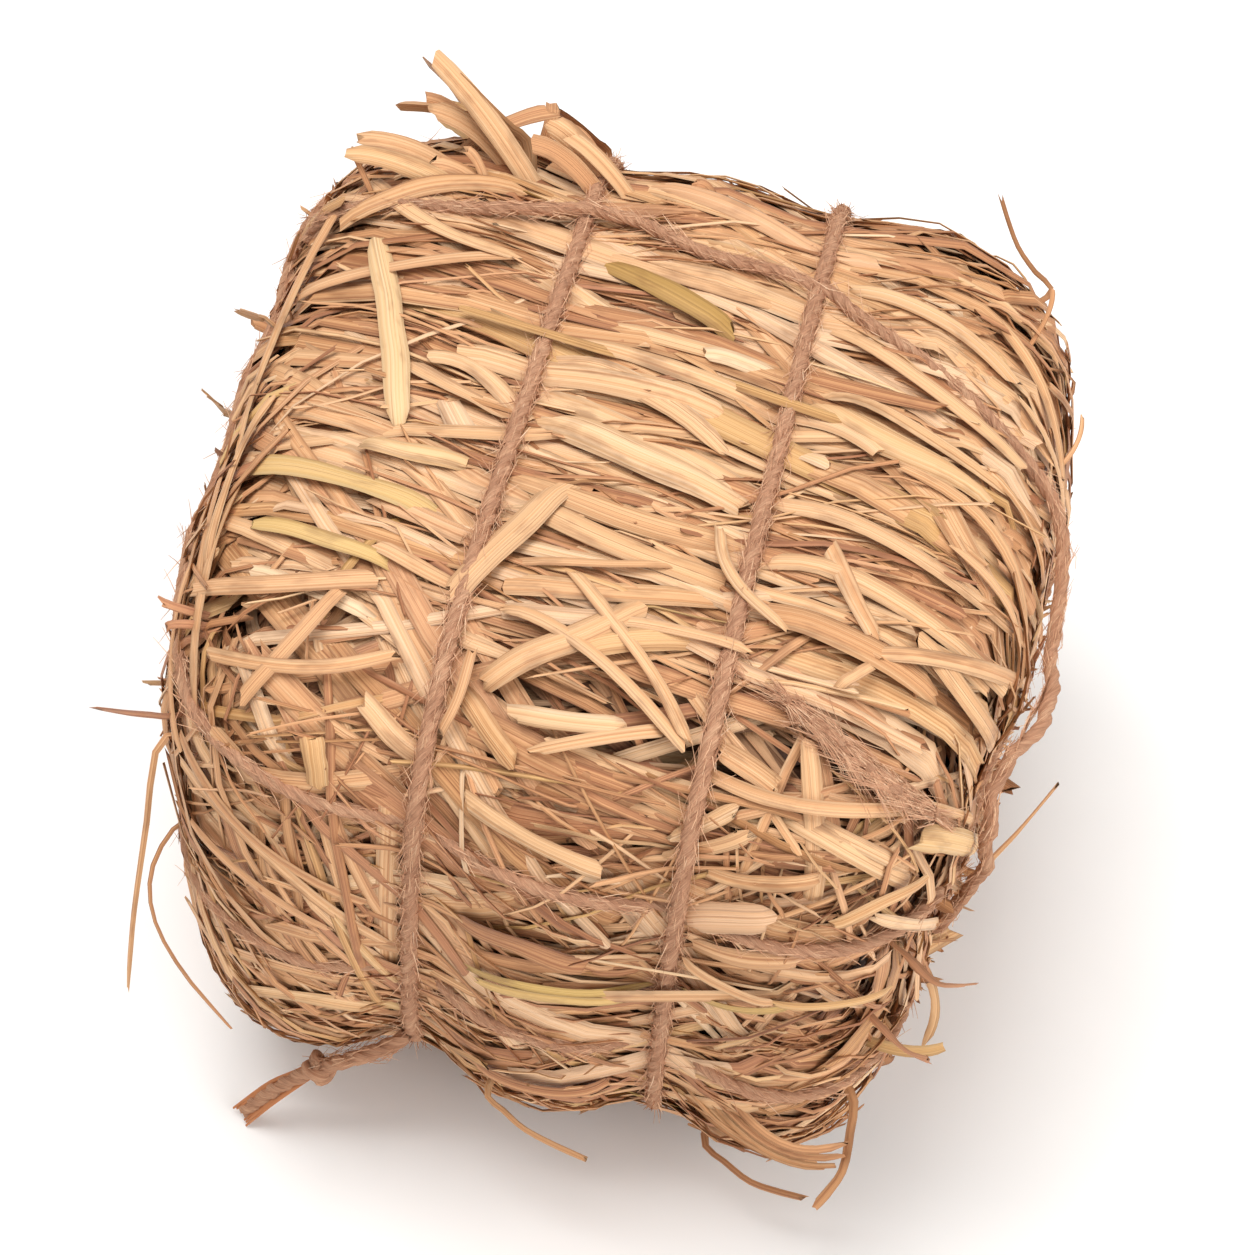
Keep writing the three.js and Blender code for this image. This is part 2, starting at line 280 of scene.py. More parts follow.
def tube(path, up, thick, around, closed=False, flat=1.0):
    """A sweep of circles of radius `thick` with a point at each angle `around`, flattened by `flat`."""
    across = -thick[..., None] * np.cos(around)
    return sweep(path, up, across, flat * thick[..., None] * np.sin(around), closed)


def grain_of(points, along, across, own):
    """Where each point is on its own strip: metres along it, metres across it and the strip's own number."""
    grain = np.zeros(points.shape)
    for part, values in enumerate((along, across, own)):
        grain[..., part] = values
    return grain


hoop = on_skin(MIDDLE + map_out[TILTS // 2])
print("once round the bale's middle is", run_along(hoop)[-1].round(3), "metres")

# %% [markdown]
# ## From grids of points to one piece
# A mesh of thousands of straws is quick to make if its faces are worked out by counting. Each point also
# keeps where it is on its own straw and what colour that straw has, so that a material can follow every
# straw separately. A map lays all strips out flat in cells of their own.

# %% Pieces
CAP_GAP, CAP_STEP = 0.05, 0.03
CELL_FILL = np.array([0.86, 0.9])
STRIP_LONG = 6.0
SHARP = np.radians(55)


def strip_faces(straws, stations, ring, closed):
    """Corner numbers of the faces of swept profiles: a quad between each pair of rings, and a cap on
    each end of an open one. Also each corner's place along and around its own strip, for a map."""
    spans = stations if closed else stations - 1
    s, k, m = np.meshgrid(np.arange(straws), np.arange(spans), np.arange(ring), indexing="ij")
    kk = k[..., None] + np.array([0, 1, 1, 0])
    mm = m[..., None] + np.array([0, 0, 1, 1])
    quads = (s[..., None] * stations + kk % stations) * ring + mm % ring
    faces = [quads.reshape(-1)]
    sizes = [np.full(s.size, 4)]
    places = [np.stack([kk / spans, mm / ring], -1).reshape(-1, 2)]
    owners = [np.repeat(s, 4)]
    if not closed:
        rim = np.arange(ring)
        base = np.arange(straws)[:, None] * stations * ring
        upper = rim <= ring // 2
        inset = CAP_STEP * np.where(upper, 0.0, 1.0) - CAP_GAP
        level = 0.25 + 0.5 * np.where(upper, rim / ring, 1 - rim / ring)
        for end, edge, order in ((0, inset, rim), (stations - 1, 1 - inset, rim[::-1])):
            faces.append((base + end * ring + order).reshape(-1))
            sizes.append(np.full(straws, ring))
            places.append(np.tile(np.stack([edge, level], -1)[order], (straws, 1)))
            owners.append(np.repeat(np.arange(straws), ring))
    return [np.concatenate(part) for part in (faces, sizes, places, owners)]


def strip_cells(places, owners, straws, low, high, long):
    """Puts each straw's strip in its own cell of a band of the unit square, in rows of equal cells."""
    columns = max(1, int(np.ceil(np.sqrt(straws * (high - low) / long))))
    rows = int(np.ceil(straws / columns))
    inset = (places - 0.5) * CELL_FILL + 0.5
    u = (owners % columns + inset[:, 0]) / columns
    v = low + (high - low) * (owners // columns + inset[:, 1]) / rows
    return np.stack([u, v], -1)


def make_piece(name, strips, material, nodes=()):
    """One mesh piece from several groups of strips. Each group has its points by straw, station and ring,
    `grain` (metres along, metres across, own number) and `look` (tone, tint, painted shade) for each
    straw or for each of its points."""
    points, grain, look, faces, sizes, maps = [], [], [], [], [], []
    count, low = 0, 0.0
    weight = sum(g.get("share", g["points"].shape[0]) for g in strips)
    for g in strips:
        straws, stations, ring = g["points"].shape[:3]
        corner, size, place, owner = strip_faces(straws, stations, ring, g.get("closed", False))
        high = low + g.get("share", straws) / weight
        maps.append(strip_cells(place, owner, straws, low, high, g.get("long", STRIP_LONG)))
        points.append(g["points"].reshape(-1, 3))
        grain.append(g["grain"].reshape(-1, 3))
        own = g["look"] if g["look"].ndim == 4 else g["look"][:, None, None]
        look.append(np.broadcast_to(own, g["points"].shape).reshape(-1, 3))
        faces.append(corner + count)
        sizes.append(size)
        count, low = count + len(points[-1]), high
    points, grain, look, faces, sizes, maps = map(np.concatenate, (points, grain, look, faces, sizes, maps))
    mesh = bpy.data.meshes.new(name)
    mesh.vertices.add(len(points))
    mesh.vertices.foreach_set("co", points.astype(np.float32).ravel())
    mesh.loops.add(len(faces))
    mesh.loops.foreach_set("vertex_index", faces.astype(np.int32))
    mesh.polygons.add(len(sizes))
    mesh.polygons.foreach_set("loop_start", (np.cumsum(sizes) - sizes).astype(np.int32))
    mesh.update(calc_edges=True)
    for label, values in (("grain", grain), ("look", look)):
        layer = mesh.attributes.new(label, "FLOAT_VECTOR", "POINT")
        layer.data.foreach_set("vector", values.astype(np.float32).ravel())
    mesh.uv_layers.new(name="OFBake").data.foreach_set("uv", maps.astype(np.float32).ravel())
    mesh.shade_smooth()
    mesh.set_sharp_from_angle(angle=SHARP)
    mesh.materials.append(material)
    piece = show(name, mesh)
    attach(piece, "root")
    if nodes:
        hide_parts(*nodes)
    print(name, "has", int((sizes - 2).sum()), "triangles")
    return piece


# %% [markdown]
# ## Shader maths as Python
# A node tree is easier to read as an expression. A small class wraps a socket, and its operators add Math
# nodes. One method makes any node from a type, settings and sockets, and the short ones below it only
# give names to the nodes that the finishes use most.

# %% Shader class


def colour(code):
    """A web colour as linear red, green and blue, and a full alpha."""
    share = np.array([int(code[i : i + 2], 16) for i in (0, 2, 4)]) / 255
    linear = np.where(share <= 0.04045, share / 12.92, ((share + 0.055) / 1.055) ** 2.4)
    return (*linear.tolist(), 1)


class Wire:
    """An output socket of a material, with arithmetic."""

    def __init__(self, tree, socket=None):
        self.tree, self.socket = tree, socket

    def node(self, kind, settings=None, sockets=None, out=0):
        """A node of a type: settings first, then its sockets' values or wires. Ramp stops are a place and
        a web colour."""
        made = self.tree.nodes.new(kind)
        for key, value in (settings or {}).items():
            if key == "stops":
                ramp = made.color_ramp
                while len(ramp.elements) < len(value):
                    ramp.elements.new(0.5)
                for element, (place, code) in zip(ramp.elements, value):
                    element.position, element.color = place, colour(code)
            else:
                setattr(made, key, value)
        for key, value in (sockets or {}).items():
            if isinstance(value, Wire):
                self.tree.links.new(value.socket, made.inputs[key])
            else:
                made.inputs[key].default_value = value
        return Wire(self.tree, made.outputs[out] if len(made.outputs) else None)

    def math(self, operation, a, b):
        """A Math node on two values or wires."""
        return self.node("ShaderNodeMath", {"operation": operation}, {0: a, 1: b})

    def __add__(self, other):
        return self.math("ADD", self, other)

    def __radd__(self, other):
        return self.math("ADD", other, self)

    def __sub__(self, other):
        return self.math("SUBTRACT", self, other)

    def __rsub__(self, other):
        return self.math("SUBTRACT", other, self)

    def __mul__(self, other):
        return self.math("MULTIPLY", self, other)

    def __rmul__(self, other):
        return self.math("MULTIPLY", other, self)

    def clip(self, low, high):
        """The value's place between low and high, from 0 to 1."""
        ends = {"Value": self, "From Min": low, "From Max": high}
        return self.node("ShaderNodeMapRange", {"clamp": True}, ends)

    def attribute(self, name):
        """A vector that the mesh keeps for each point."""
        return self.node("ShaderNodeAttribute", {"attribute_name": name}, out=1)

    def parts(self):
        """The three numbers of a vector."""
        split = self.node("ShaderNodeSeparateXYZ", {}, {0: self}).socket.node
        return [Wire(self.tree, socket) for socket in split.outputs]

    def stretched(self, scale):
        """A vector with each part multiplied, as a coordinate for a pattern."""
        return self.node("ShaderNodeVectorMath", {"operation": "MULTIPLY"}, {0: self, 1: scale})

    def noise(self, detail, rough, scale=1.0):
        """Soft noise from 0 to 1 on this coordinate."""
        sockets = {"Vector": self, "Scale": scale, "Detail": detail, "Roughness": rough}
        return self.node("ShaderNodeTexNoise", {}, sockets)

    def ramp(self, *stops):
        """The colour at this value on a ramp of stops."""
        return self.node("ShaderNodeValToRGB", {"stops": stops}, {0: self})

    def mix(self, first, second):
        """Two colours mixed by this value."""
        return self.node("ShaderNodeMix", {"data_type": "RGBA"}, {0: self, 6: first, 7: second}, out=2)

    def bump(self, strength, distance):
        """A normal that is pushed by this value as a height."""
        return self.node("ShaderNodeBump", {}, {"Strength": strength, "Distance": distance, "Height": self})

    def surface(self, sockets):
        """The end of the tree: a Principled shader with these sockets on the material's output."""
        shader = self.node("ShaderNodeBsdfPrincipled", {}, sockets)
        self.node("ShaderNodeOutputMaterial", {}, {"Surface": shader})


def new_material(name):
    """A material with an empty node tree, and a wire to start it from."""
    made = bpy.data.materials.new(name)
    made.use_nodes = True
    made.node_tree.nodes.clear()
    return made, Wire(made.node_tree)


print("mid grey as linear light is", round(colour("808080")[0], 3))

# %% [markdown]
# ## Twine
# Jute twine is three plies twisted together, with loose fibres standing out all along it. Its route is
# that of the twine's own solid in the frame: a guide line gives each of the solid's points a place along
# the twine, and averaging the points around each place gives the middle line.

# %% Twine route
rng = np.random.default_rng(7)


def middle_line(points, guide, closed, blur):
    """The middle line of a tube: each guide point becomes the mean of the tube's points, weighted by a
    bell curve of how far along the guide they are."""
    nearest = np.linalg.norm(points[:, None] - guide[None], axis=-1).argmin(1)
    apart = np.abs(np.arange(len(guide))[:, None] - nearest[None])
    apart = np.minimum(apart, len(guide) - apart) if closed else apart
    weight = bell(apart / blur)
    return weight @ points / weight.sum(1, keepdims=True)


def evenly(line, step, closed):
    """A line resampled at equal steps along its length."""
    line = np.concatenate([line, line[:1]]) if closed else line
    run = run_along(line)
    at = np.linspace(0, run[-1], int(run[-1] / step) + 1, endpoint=not closed)
    return np.stack([np.interp(at, run, line[:, axis]) for axis in range(3)], -1)


def curve_through(points, count):
    """A smooth line through a few points: each stretch is a cubic whose slope at a point is half the
    step between its neighbours."""
    points = np.asarray(points, float)
    slope = np.gradient(points, axis=0)
    at = np.linspace(0, len(points) - 1, count)
    low = np.clip(at.astype(int), 0, len(points) - 2)
    t = (at - low)[:, None]
    a, b, m, n = points[low], points[low + 1], slope[low], slope[low + 1]
    return a + t * m + t**2 * (3 * (b - a) - 2 * m - n) + t**3 * (2 * (a - b) + m + n)


print("the left girth's solid has", len(node_points("girth_twine_left")), "points")

# %% [markdown]
# ## Plies and fibres
# The plies wind round the twine's line as helices. The fibres are thin three-sided tubes that start on the
# twine, lean along it and bend by chance. A hair system could grow them too, but a mesh of thousands of
# short tubes goes into any other program as it is.

# %% Plies and fibres
TWINE_RADIUS = 2.1 * MM
PLIES = 3
PLY_SIDES = 6
PLY_PITCH = 12 * MM
PLY_PATH, PLY_THICK = 0.38, 0.6
PLY_LOOKS = np.array([[0.45, 0, 0], [0.55, 0, 0], [0.5, 0, 0]])
PLY_LONG = 60.0
FIBRE_STATIONS, FIBRE_SIDES = 3, 3
FIBRE_THICK = (0.06, 0.13)
FIBRE_ROOT = 0.85
FIBRE_SHARE = 2
GROUND_GAP = 0.3 * MM


def twine_plies(line, closed, girth):
    """Plies round a line. Each ply's middle goes round at PLY_PATH of the twine's radius, one turn every
    PLY_PITCH, and its profile is a circle that swells a little by turns. Girth scales the radius."""
    tangent = tangents(line, closed)
    side = unit(np.cross(outward(line), tangent))
    over = np.cross(tangent, side)
    run = run_along(line)
    turns = np.round(run[-1] / PLY_PITCH)
    own = np.arange(PLIES)[:, None] / PLIES
    angle = 2 * np.pi * (turns * np.arange(len(line)) / len(line) + own)
    away = np.cos(angle)[..., None] * side + np.sin(angle)[..., None] * over
    path = line + PLY_PATH * TWINE_RADIUS * girth * away
    around = round_angles(PLY_SIDES)
    thick = PLY_THICK * TWINE_RADIUS * girth * (1 + 0.1 * np.sin(angle * 2.3 + run / MM))
    points = tube(path, away, thick, around, closed)
    grain = grain_of(points, run[None, :, None], TWINE_RADIUS * around, own[..., None])
    plies = {"points": points, "grain": grain, "look": PLY_LOOKS}
    return dict(plies, closed=closed, share=PLIES, long=PLY_LONG)


def twine_fuzz(line, rng, per_mm, longest, girth=1.0, stand=0.5):
    """Loose fibres: each starts on the twine's surface, follows it at a slant and bends by chance. The more
    they stand, the steeper they leave it, and if they hardly stand they lie flat. Their profile narrows
    to the tip, and none goes higher over the skin than its stand allows."""
    fibres = int(run_along(line)[-1] / MM * per_mm)
    at = rng.integers(1, len(line) - 1, fibres)
    tangent = unit(line[at + 1] - line[at - 1]) * rng.choice([-1, 1], (fibres, 1))
    out = outward(line[at])
    side = np.cross(out, tangent)
    angle = rng.uniform(0, 2 * np.pi, (fibres, 1))
    flat = min(1.0, 2 * stand)
    away = np.cos(angle) * side + flat * np.sin(angle) * out
    length = MM * longest * rng.uniform(0.3, 1.0, (fibres, 1))
    bend = unit(rng.normal(0, 1, (fibres, 3)) + 0.4 * out) * rng.uniform(0.1, 0.7, (fibres, 1))
    bend = bend - (1 - flat) * np.maximum((bend * out).sum(-1, keepdims=True), 0) * out
    s = np.linspace(0, 1, FIBRE_STATIONS)[None, :, None]
    start = (line[at] + away * TWINE_RADIUS * girth * FIBRE_ROOT)[:, None]
    steep = stand * rng.random((fibres, 1)) ** 2
    heading = unit(tangent + (0.1 + 2 * steep) * away)[:, None]
    path = start + length[:, None] * (s * heading + (0.2 + steep[:, None]) * s**2 * bend[:, None])
    too_high = np.maximum(height(path) - (1.5 + 12 * stand) * MM, 0)
    path = path - too_high[..., None] * out[:, None]
    path[..., 2] = np.maximum(path[..., 2], GROUND_GAP)
    thick = rng.uniform(*FIBRE_THICK, (fibres, 1)) * MM * (1 - 0.6 * s[..., 0])
    up = np.broadcast_to(np.cross(heading, bend[:, None]), path.shape)
    points = tube(path, up, thick, round_angles(FIBRE_SIDES))
    grain = grain_of(points, s * length[:, None], 0, rng.random((fibres, 1, 1)))
    look = np.stack([rng.uniform(0.45, 1, fibres), np.zeros(fibres), np.ones(fibres)], -1)
    return {"points": points, "grain": grain, "look": look, "share": FIBRE_SHARE}


print("a twine is", 2 * TWINE_RADIUS / MM, "mm thick, with a turn every", PLY_PITCH / MM, "mm")

# %% [markdown]
# ## The jute's finish
# Jute is dull brown with a mauve cast, and its fibres catch the light as paler lines along each ply. One
# noise, stretched along the ply, gives both the lines' colour and their bump, so the two always agree.

# %% Jute material


def jute_material(name):
    """Base colour: brown to pale by stretched noise along the ply and by each fibre's own tone, and redder by
    its tint. Rough all over."""
    made, wire = new_material(name)
    grain = wire.attribute("grain")
    tone, red, _ = wire.attribute("look").parts()
    fibres = grain.stretched((300, 3200, 50)).noise(3.0, 0.65)
    patches = grain.stretched((90, 100, 20)).noise(2.0, 0.5)
    level = tone * 0.6 + (fibres - 0.5) * 1.1 + (patches - 0.5) * 0.5 + 0.1
    base = level.ramp((0.0, "8a614a"), (0.4, "bf8d6e"), (0.7, "dab08d"), (1.0, "efd7bb"))
    base = (red * 0.8).mix(base, colour("b8703f"))
    ridges = fibres.bump(0.8, 0.5 * MM)
    wire.surface({"Base Color": base, "Roughness": 0.9, "Normal": ridges, "Specular IOR Level": 0.2})
    return made


jute_finish = jute_material("jute_twine")
print("the jute's finish has", len(jute_finish.node_tree.nodes), "nodes")

# %% [markdown]
# ## The tail of the left girth
# The free end of one girth twine hangs to the ground, with a knot in it and a flattened, frayed tip. It is
# a cord of its own, so its route is the list that its solid was made from, with a start inside the girth.
# The knot is the twine wound round itself, and the tip is its fibres fanned out flat.

# %% Tail and knot
TAIL_ROUTE = [(-19.6, -83.4, 35.4), (-21.5, -84.9, 34.2), (-25.7, -86.2, 31.4), (-29.2, -86.6, 28.6)]
KNOT_AT = (-35.8, -86.4, 22.7)
TIP_ROUTE = [(-38.5, -86.4, 19.8), (-44.6, -86.3, 11.6), (-50.6, -86.2, 1.9)]
TAIL_STATIONS, TAIL_STEP = 30, 0.8 * MM
TAIL_GIRTH, KNOT_GIRTH = 0.8, 0.62
KNOT_STATIONS, KNOT_STEP = 90, 0.6 * MM
KNOT_RADIUS = 2.8 * MM


def knot_loop(stations):
    """A trefoil about the tail: twice round while its reach and its height swing three times."""
    wind = round_angles(stations)[:, None]
    reach = 1.1 + 0.5 * np.cos(3 * wind)
    loop = reach * np.cos(2 * wind) * np.array([0.8, 0, -0.6])
    loop = loop + reach * np.sin(2 * wind) * np.array([0, 1.0, 0])
    return loop + 0.75 * np.sin(3 * wind) * np.array([0.6, 0, 0.8])


tail_route = curve_through(np.array([*TAIL_ROUTE, KNOT_AT, *TIP_ROUTE]) * MM, TAIL_STATIONS)
tail_line = evenly(tail_route, TAIL_STEP, False)
tail_plies = twine_plies(tail_line, False, TAIL_GIRTH)
tail = make_piece("tail_twine_jute", [tail_plies], jute_finish, ["tail_twine"])
knot_line = evenly(np.array(KNOT_AT) * MM + KNOT_RADIUS * 0.55 * knot_loop(KNOT_STATIONS), KNOT_STEP, True)
knot_plies = twine_plies(knot_line, True, KNOT_GIRTH)
knot = make_piece("tail_knot_jute", [knot_plies], jute_finish, ["tail_knot"])

# %% Tip, fibres and cord
TIP_STRANDS, TIP_STATIONS, TIP_SIDES = 9, 14, 5
TIP_WIDTH = 4.6 * MM
TIP_THICK = 0.5 * MM
TIP_UP = np.array([0.0, -0.5, 1.0])
TAIL_FUZZ_END = 30


def frayed_tip(route, strands, width):
    """Flat strands side by side along a route, fanning out from a third of the width to all of it. Each
    wavers by a sine, and the outer ones droop with the square of their place."""
    line = curve_through(route, TIP_STATIONS)
    side = unit(np.cross(tangents(line), TIP_UP))
    s = np.linspace(0, 1, TIP_STATIONS)[:, None]
    place = np.linspace(-0.5, 0.5, strands)[:, None, None]
    path = line + side * place * width * (0.35 + 0.65 * s) + 0.4 * MM * np.sin(9 * s + 40 * place)
    path = path - (place * 12) ** 2 * 0.03 * MM * s**4
    thick = (TIP_THICK * (1 - 0.5 * s**3) * np.ones((strands, 1, 1)))[..., 0]
    up = np.broadcast_to(TIP_UP, path.shape)
    points = tube(path, up, thick, round_angles(TIP_SIDES), flat=0.6)
    grain = grain_of(points, s * 0.02, 0, np.arange(strands)[:, None, None] / strands)
    return {"points": points, "grain": grain, "look": np.tile([0.5, 0.9, 0.0], (strands, 1))}


tip_strands = frayed_tip(np.array([KNOT_AT, *TIP_ROUTE]) * MM, TIP_STRANDS, TIP_WIDTH)
tip = make_piece("tail_tip_fray", [tip_strands], jute_finish, ["tail_tip"])
tail_fibres = twine_fuzz(tail_line[:TAIL_FUZZ_END], rng, 5.0, 5.0)
tail_fuzz = make_piece("tail_fuzz", [tail_fibres], jute_finish)
tail_length = float(run_along(tail_route)[-1])
print("tail of", round(tail_length / MM, 1), "mm")

# %% [markdown]
# ## Twines round the bale
# Two girths go round the bale's middle, and a waist and a foot twine go round its sides. They press into the
# straw, so each is set on the skin, and the waist and foot twines go deeper where they pass below a girth.
# A cross twine runs over the top and down both ends. The short twine at the right front corner has come
# apart, so it is thin and has many more loose fibres.

# %% Twines round the bale
GUIDE_POINTS, GUIDE_STEPS = 400, 221
GUIDE_NEAR, GUIDE_FAR = 0.02, 0.13
TWINE_STEP = 1.3 * MM
FIBRE_LONGEST, FIBRE_STAND = 5.5, 0.4


def circle_guide(centre, first, second):
    """Points on the skin, or near it, round a centre, as a guide for a closed twine: along each direction
    of a circle, the last step that is still inside."""
    angle = round_angles(GUIDE_POINTS)[:, None]
    away = np.cos(angle) * unit(np.array(first, float)) + np.sin(angle) * unit(np.array(second, float))
    reach = np.linspace(GUIDE_NEAR, GUIDE_FAR, GUIDE_STEPS)
    inside = (height(centre + reach[:, None, None] * away) < 0).sum(0)
    return centre + reach[np.minimum(inside, GUIDE_STEPS - 1)][:, None] * away


def make_twine(name, line, closed, girth, per_mm, longest, stand):
    """A twine piece that stands for its own solid: plies and loose fibres along a middle line, which is kept
    off the ground."""
    line[:, 2] = np.maximum(line[:, 2], TWINE_RADIUS)
    strips = [twine_plies(line, closed, girth), twine_fuzz(line, rng, per_mm, longest, girth, stand)]
    return make_piece(name + "_jute", strips, jute_finish, [name])


# centre, two directions, girth, seat over the skin in mm, how much deeper below the girths, fibres per mm
LOOPS = {
    "girth_twine_left": ((-19, 0, 64.5), (0, 1, 0), (0, 0, 1), 0.8, 0.4, 0.0, 6.4),
    "girth_twine_right": ((28.7, 0, 64.5), (0, 1, 0), (-0.012, 0, 1), 0.8, 0.4, 0.0, 6.4),
    "waist_twine": ((0, 0, 102), (1, 0, -0.15), (0, 1, 0), 0.66, 0.5, 2.6, 3.6),
    "foot_twine": ((0, 0, 57), (1, 0, -0.15), (0, 1, 0), 0.66, 0.3, 2.6, 3.6),
}
for name, (centre, first, second, girth, seat, under, per_mm) in LOOPS.items():
    guide = circle_guide(np.array(centre) * MM, first, second)
    line = on_skin(evenly(middle_line(node_points(name), guide, True, 5.0), TWINE_STEP, True))
    seats = MM * (seat - under * near_girth(line[:, 0]))
    seated = line + outward(line) * seats[:, None]
    make_twine(name, seated, True, girth, per_mm, FIBRE_LONGEST, FIBRE_STAND)

# %% Cross and corner twines
GUIDE_STATIONS = 240
CROSS_ROUTE = [
    (-80, 41, 118), (-70, 42, 127), (-37, 43, 131), (-17, 50, 126), (5, 43, 132), (29, 42, 126),
    (46, 30, 131), (66, 20, 128), (82, 4, 110), (88, -16, 105), (90, -36, 104), (84, -50, 103),
    (80, -57, 94), (79, -58, 80), (78, -56, 65),
]
CROSS_SINK = (5.0, 3.5, 2.6, 2.6, 3.2, 3.8, 5.0, 3.5, 2.0, 1.0, 3.5, 3.5)
CORNER_ROUTE = [(36, -60, 130), (53, -69, 126), (64, -71, 119), (75, -68, 112)]
# route, girth, depth below the solid's own line in mm, fibres per mm, their length in mm and how they stand
ROUTES = {
    "cross_twine": (CROSS_ROUTE, 0.7, CROSS_SINK, 5.5, FIBRE_LONGEST, FIBRE_STAND),
    "corner_twine": (CORNER_ROUTE, 0.5, (3.0, 3.0), 40.0, 13.0, 0.12),
}
for name, (route, girth, sink, per_mm, longest, stand) in ROUTES.items():
    guide = curve_through(np.array(route) * MM, GUIDE_STATIONS)
    line = evenly(middle_line(node_points(name), guide, False, 4.0), TWINE_STEP, False)
    depth = np.interp(np.linspace(0, 1, len(line)), np.linspace(0, 1, len(sink)), sink)
    sunk = line - outward(line) * (MM * depth)[:, None]
    make_twine(name, sunk, False, girth, per_mm, longest, stand)

# %% [markdown]
# ## The straw's finish
# A dry straw is pale gold with fine fibres along it and blotched where it was wet, and its edges are
# painted darker as the shade between neighbouring straws. Each straw has its own tone, from brown to
# cream, its own tint, from pink to green, and a painted shade that darkens deep straws towards dark
# brown as if little light got in, all three kept in the mesh. The fibres are noise that is stretched
# along the straw, used for colour and for bump.

# %% Straw material


def straw_material(name, roughness, bump):
    """Base colour: tone ramp moved by fibre streaks, tinted, ribbed by thin dark lines where a slow noise
    passes its middle value, blotched, and mixed towards dark brown by its painted shade. Bump from the
    fibres."""
    made, wire = new_material(name)
    grain = wire.attribute("grain")
    tone, tint, shade = wire.attribute("look").parts()
    fibres = grain.stretched((7, 3000, 61)).noise(2.0, 0.6)
    bands = grain.stretched((4, 800, 43)).noise(1.0, 0.5)
    blotch = grain.stretched((70, 250, 97)).noise(3.0, 0.6)
    streak = grain.stretched((5, 1700, 83)).noise(1.0, 0.5) - 0.5
    rib = 1.0 - (streak * streak).clip(0.0, 0.0009)
    level = tone + (fibres - 0.5) * 0.85 + (bands - 0.5) * 0.45
    base = level.ramp((0.0, "5e3520"), (0.25, "a36a45"), (0.5, "cf9868"), (0.72, "e4b687"), (1.0, "ecc9a2"))
    base = (tint.clip(0.1, 1.0) * 0.6).mix(base, colour("c4a852"))
    base = (tint.clip(0.0, -1.0) * 0.55).mix(base, colour("cd8f6c"))
    base = (rib * 0.38).mix(base, colour("8a5535"))
    base = ((1.0 - blotch.clip(0.3, 0.47)) * 0.48).mix(base, colour("6f4023"))
    # painted shade: deep straws, margins and undersides are mixed towards dark brown as if in shadow
    base = (1.0 - shade).mix(base, colour("3a1f10"))
    gloss = roughness + (blotch - 0.5) * 0.25
    ridges = (fibres + bands).bump(bump, 0.4 * MM)
    wire.surface({"Base Color": base, "Roughness": gloss, "Normal": ridges, "Specular IOR Level": 0.35})
    return made


straw_finish = straw_material("dry_straw", 0.58, 0.6)
packed_finish = straw_material("packed_straw", 0.8, 0.8)
print("the straw's finish has", len(straw_finish.node_tree.nodes), "nodes")

# %% [markdown]
# ## One straw
# A flattened straw is a thin strip. Its profile has four points across the upper side, which is arched
# or hollow, and two below. Its width tapers to torn ends that are cut at a slant, and it rolls a little
# about its own length.

# %% Straw profile
ACROSS = np.array([-1.0, -0.4, 0.4, 1.0, 0.45, -0.45])
BELOW = np.array([0, 0, 0, 0, 1.0, 1.0])
# painted shade for each profile point: margins and underside darkened as if shaded by neighbours
PAINTED_MARGIN_SHADE = np.array([0.7, 1.0, 1.0, 0.7, 0.8, 0.8])
STRAW_THICK = 0.35 * MM
TAPER = 0.3
SLANT, TEAR = 1.6, 1.2 * MM


def straws_along(path, up, width, rng, look, arch=0.3, roll=0.5, torn=1.0):
    """A group of strips. Half width = width/2 x (1 - taper x |2s-1|^9) x slow waves, with a taper that each
    end draws for itself; the profile's middle is raised by arch x half width; the strip rolls by a slowly
    changing angle about its path. Its end points slide along it by a slant times their place across, and
    by chance, which tears the end. The margins and the underside are given painted shade, darker than the
    middle, as if shaded by neighbouring straws."""
    straws, stations = path.shape[:2]
    s = np.linspace(0, 1, stations)[None]
    own = rng.random((8, straws, 1))
    ends = np.where(s < 0.5, own[0], own[1])
    slim = 1 - TAPER * (0.2 + 1.8 * ends**2) * np.abs(2 * s - 1) ** 9
    waves = 1 + 0.04 * np.sin(2 * np.pi * (s * (1 + 2 * own[2]) + own[3]))
    half = 0.5 * width[:, None] * np.clip(slim, 0.15, 1) * waves
    bow = arch * (2.6 * own[4] - 0.7)
    turn = roll * (own[5] - 0.5 + 0.6 * np.sin(2 * np.pi * (s * own[2] + own[4])))
    flat_x = ACROSS * half[..., None]
    flat_z = (bow * half)[..., None] * (1 - np.abs(ACROSS) ** 1.6) - BELOW * STRAW_THICK
    across = flat_x * np.cos(turn)[..., None] - flat_z * np.sin(turn)[..., None]
    rise = flat_x * np.sin(turn)[..., None] + flat_z * np.cos(turn)[..., None]
    points = sweep(path, up, across, rise)
    tears = torn * TEAR * rng.uniform(-1, 1, (2, straws, len(ACROSS)))
    for end, inner, slant, tear in ((0, 1, own[6], tears[0]), (-1, -2, own[7], tears[1])):
        along = unit(path[:, end] - path[:, inner])[:, None]
        points[:, end] += along * (SLANT * (slant - 0.5) * flat_x[:, end] + tear)[..., None]
    grain = grain_of(points, run_along(path)[..., None], flat_x, rng.random((straws, 1, 1)))
    look = np.broadcast_to(look[:, None, None], points.shape).copy()
    look[..., 2] *= PAINTED_MARGIN_SHADE
    return {"points": points, "grain": grain, "look": look}


def looks(rng, straws, tone, shade=1.0):
    """Tone, tint and painted shade of each straw: most are plain, some yellow-green and some pink."""
    tones = np.clip(rng.normal(tone, 0.19, straws), 0.28, 0.95)
    tints = rng.normal(-0.15, 0.22, straws) + (rng.random(straws) < 0.04) * rng.uniform(0.15, 0.6, straws)
    return np.stack([tones, np.clip(tints, -1, 1), np.full(straws, shade)], -1)


print("a straw's profile has", len(ACROSS), "points")

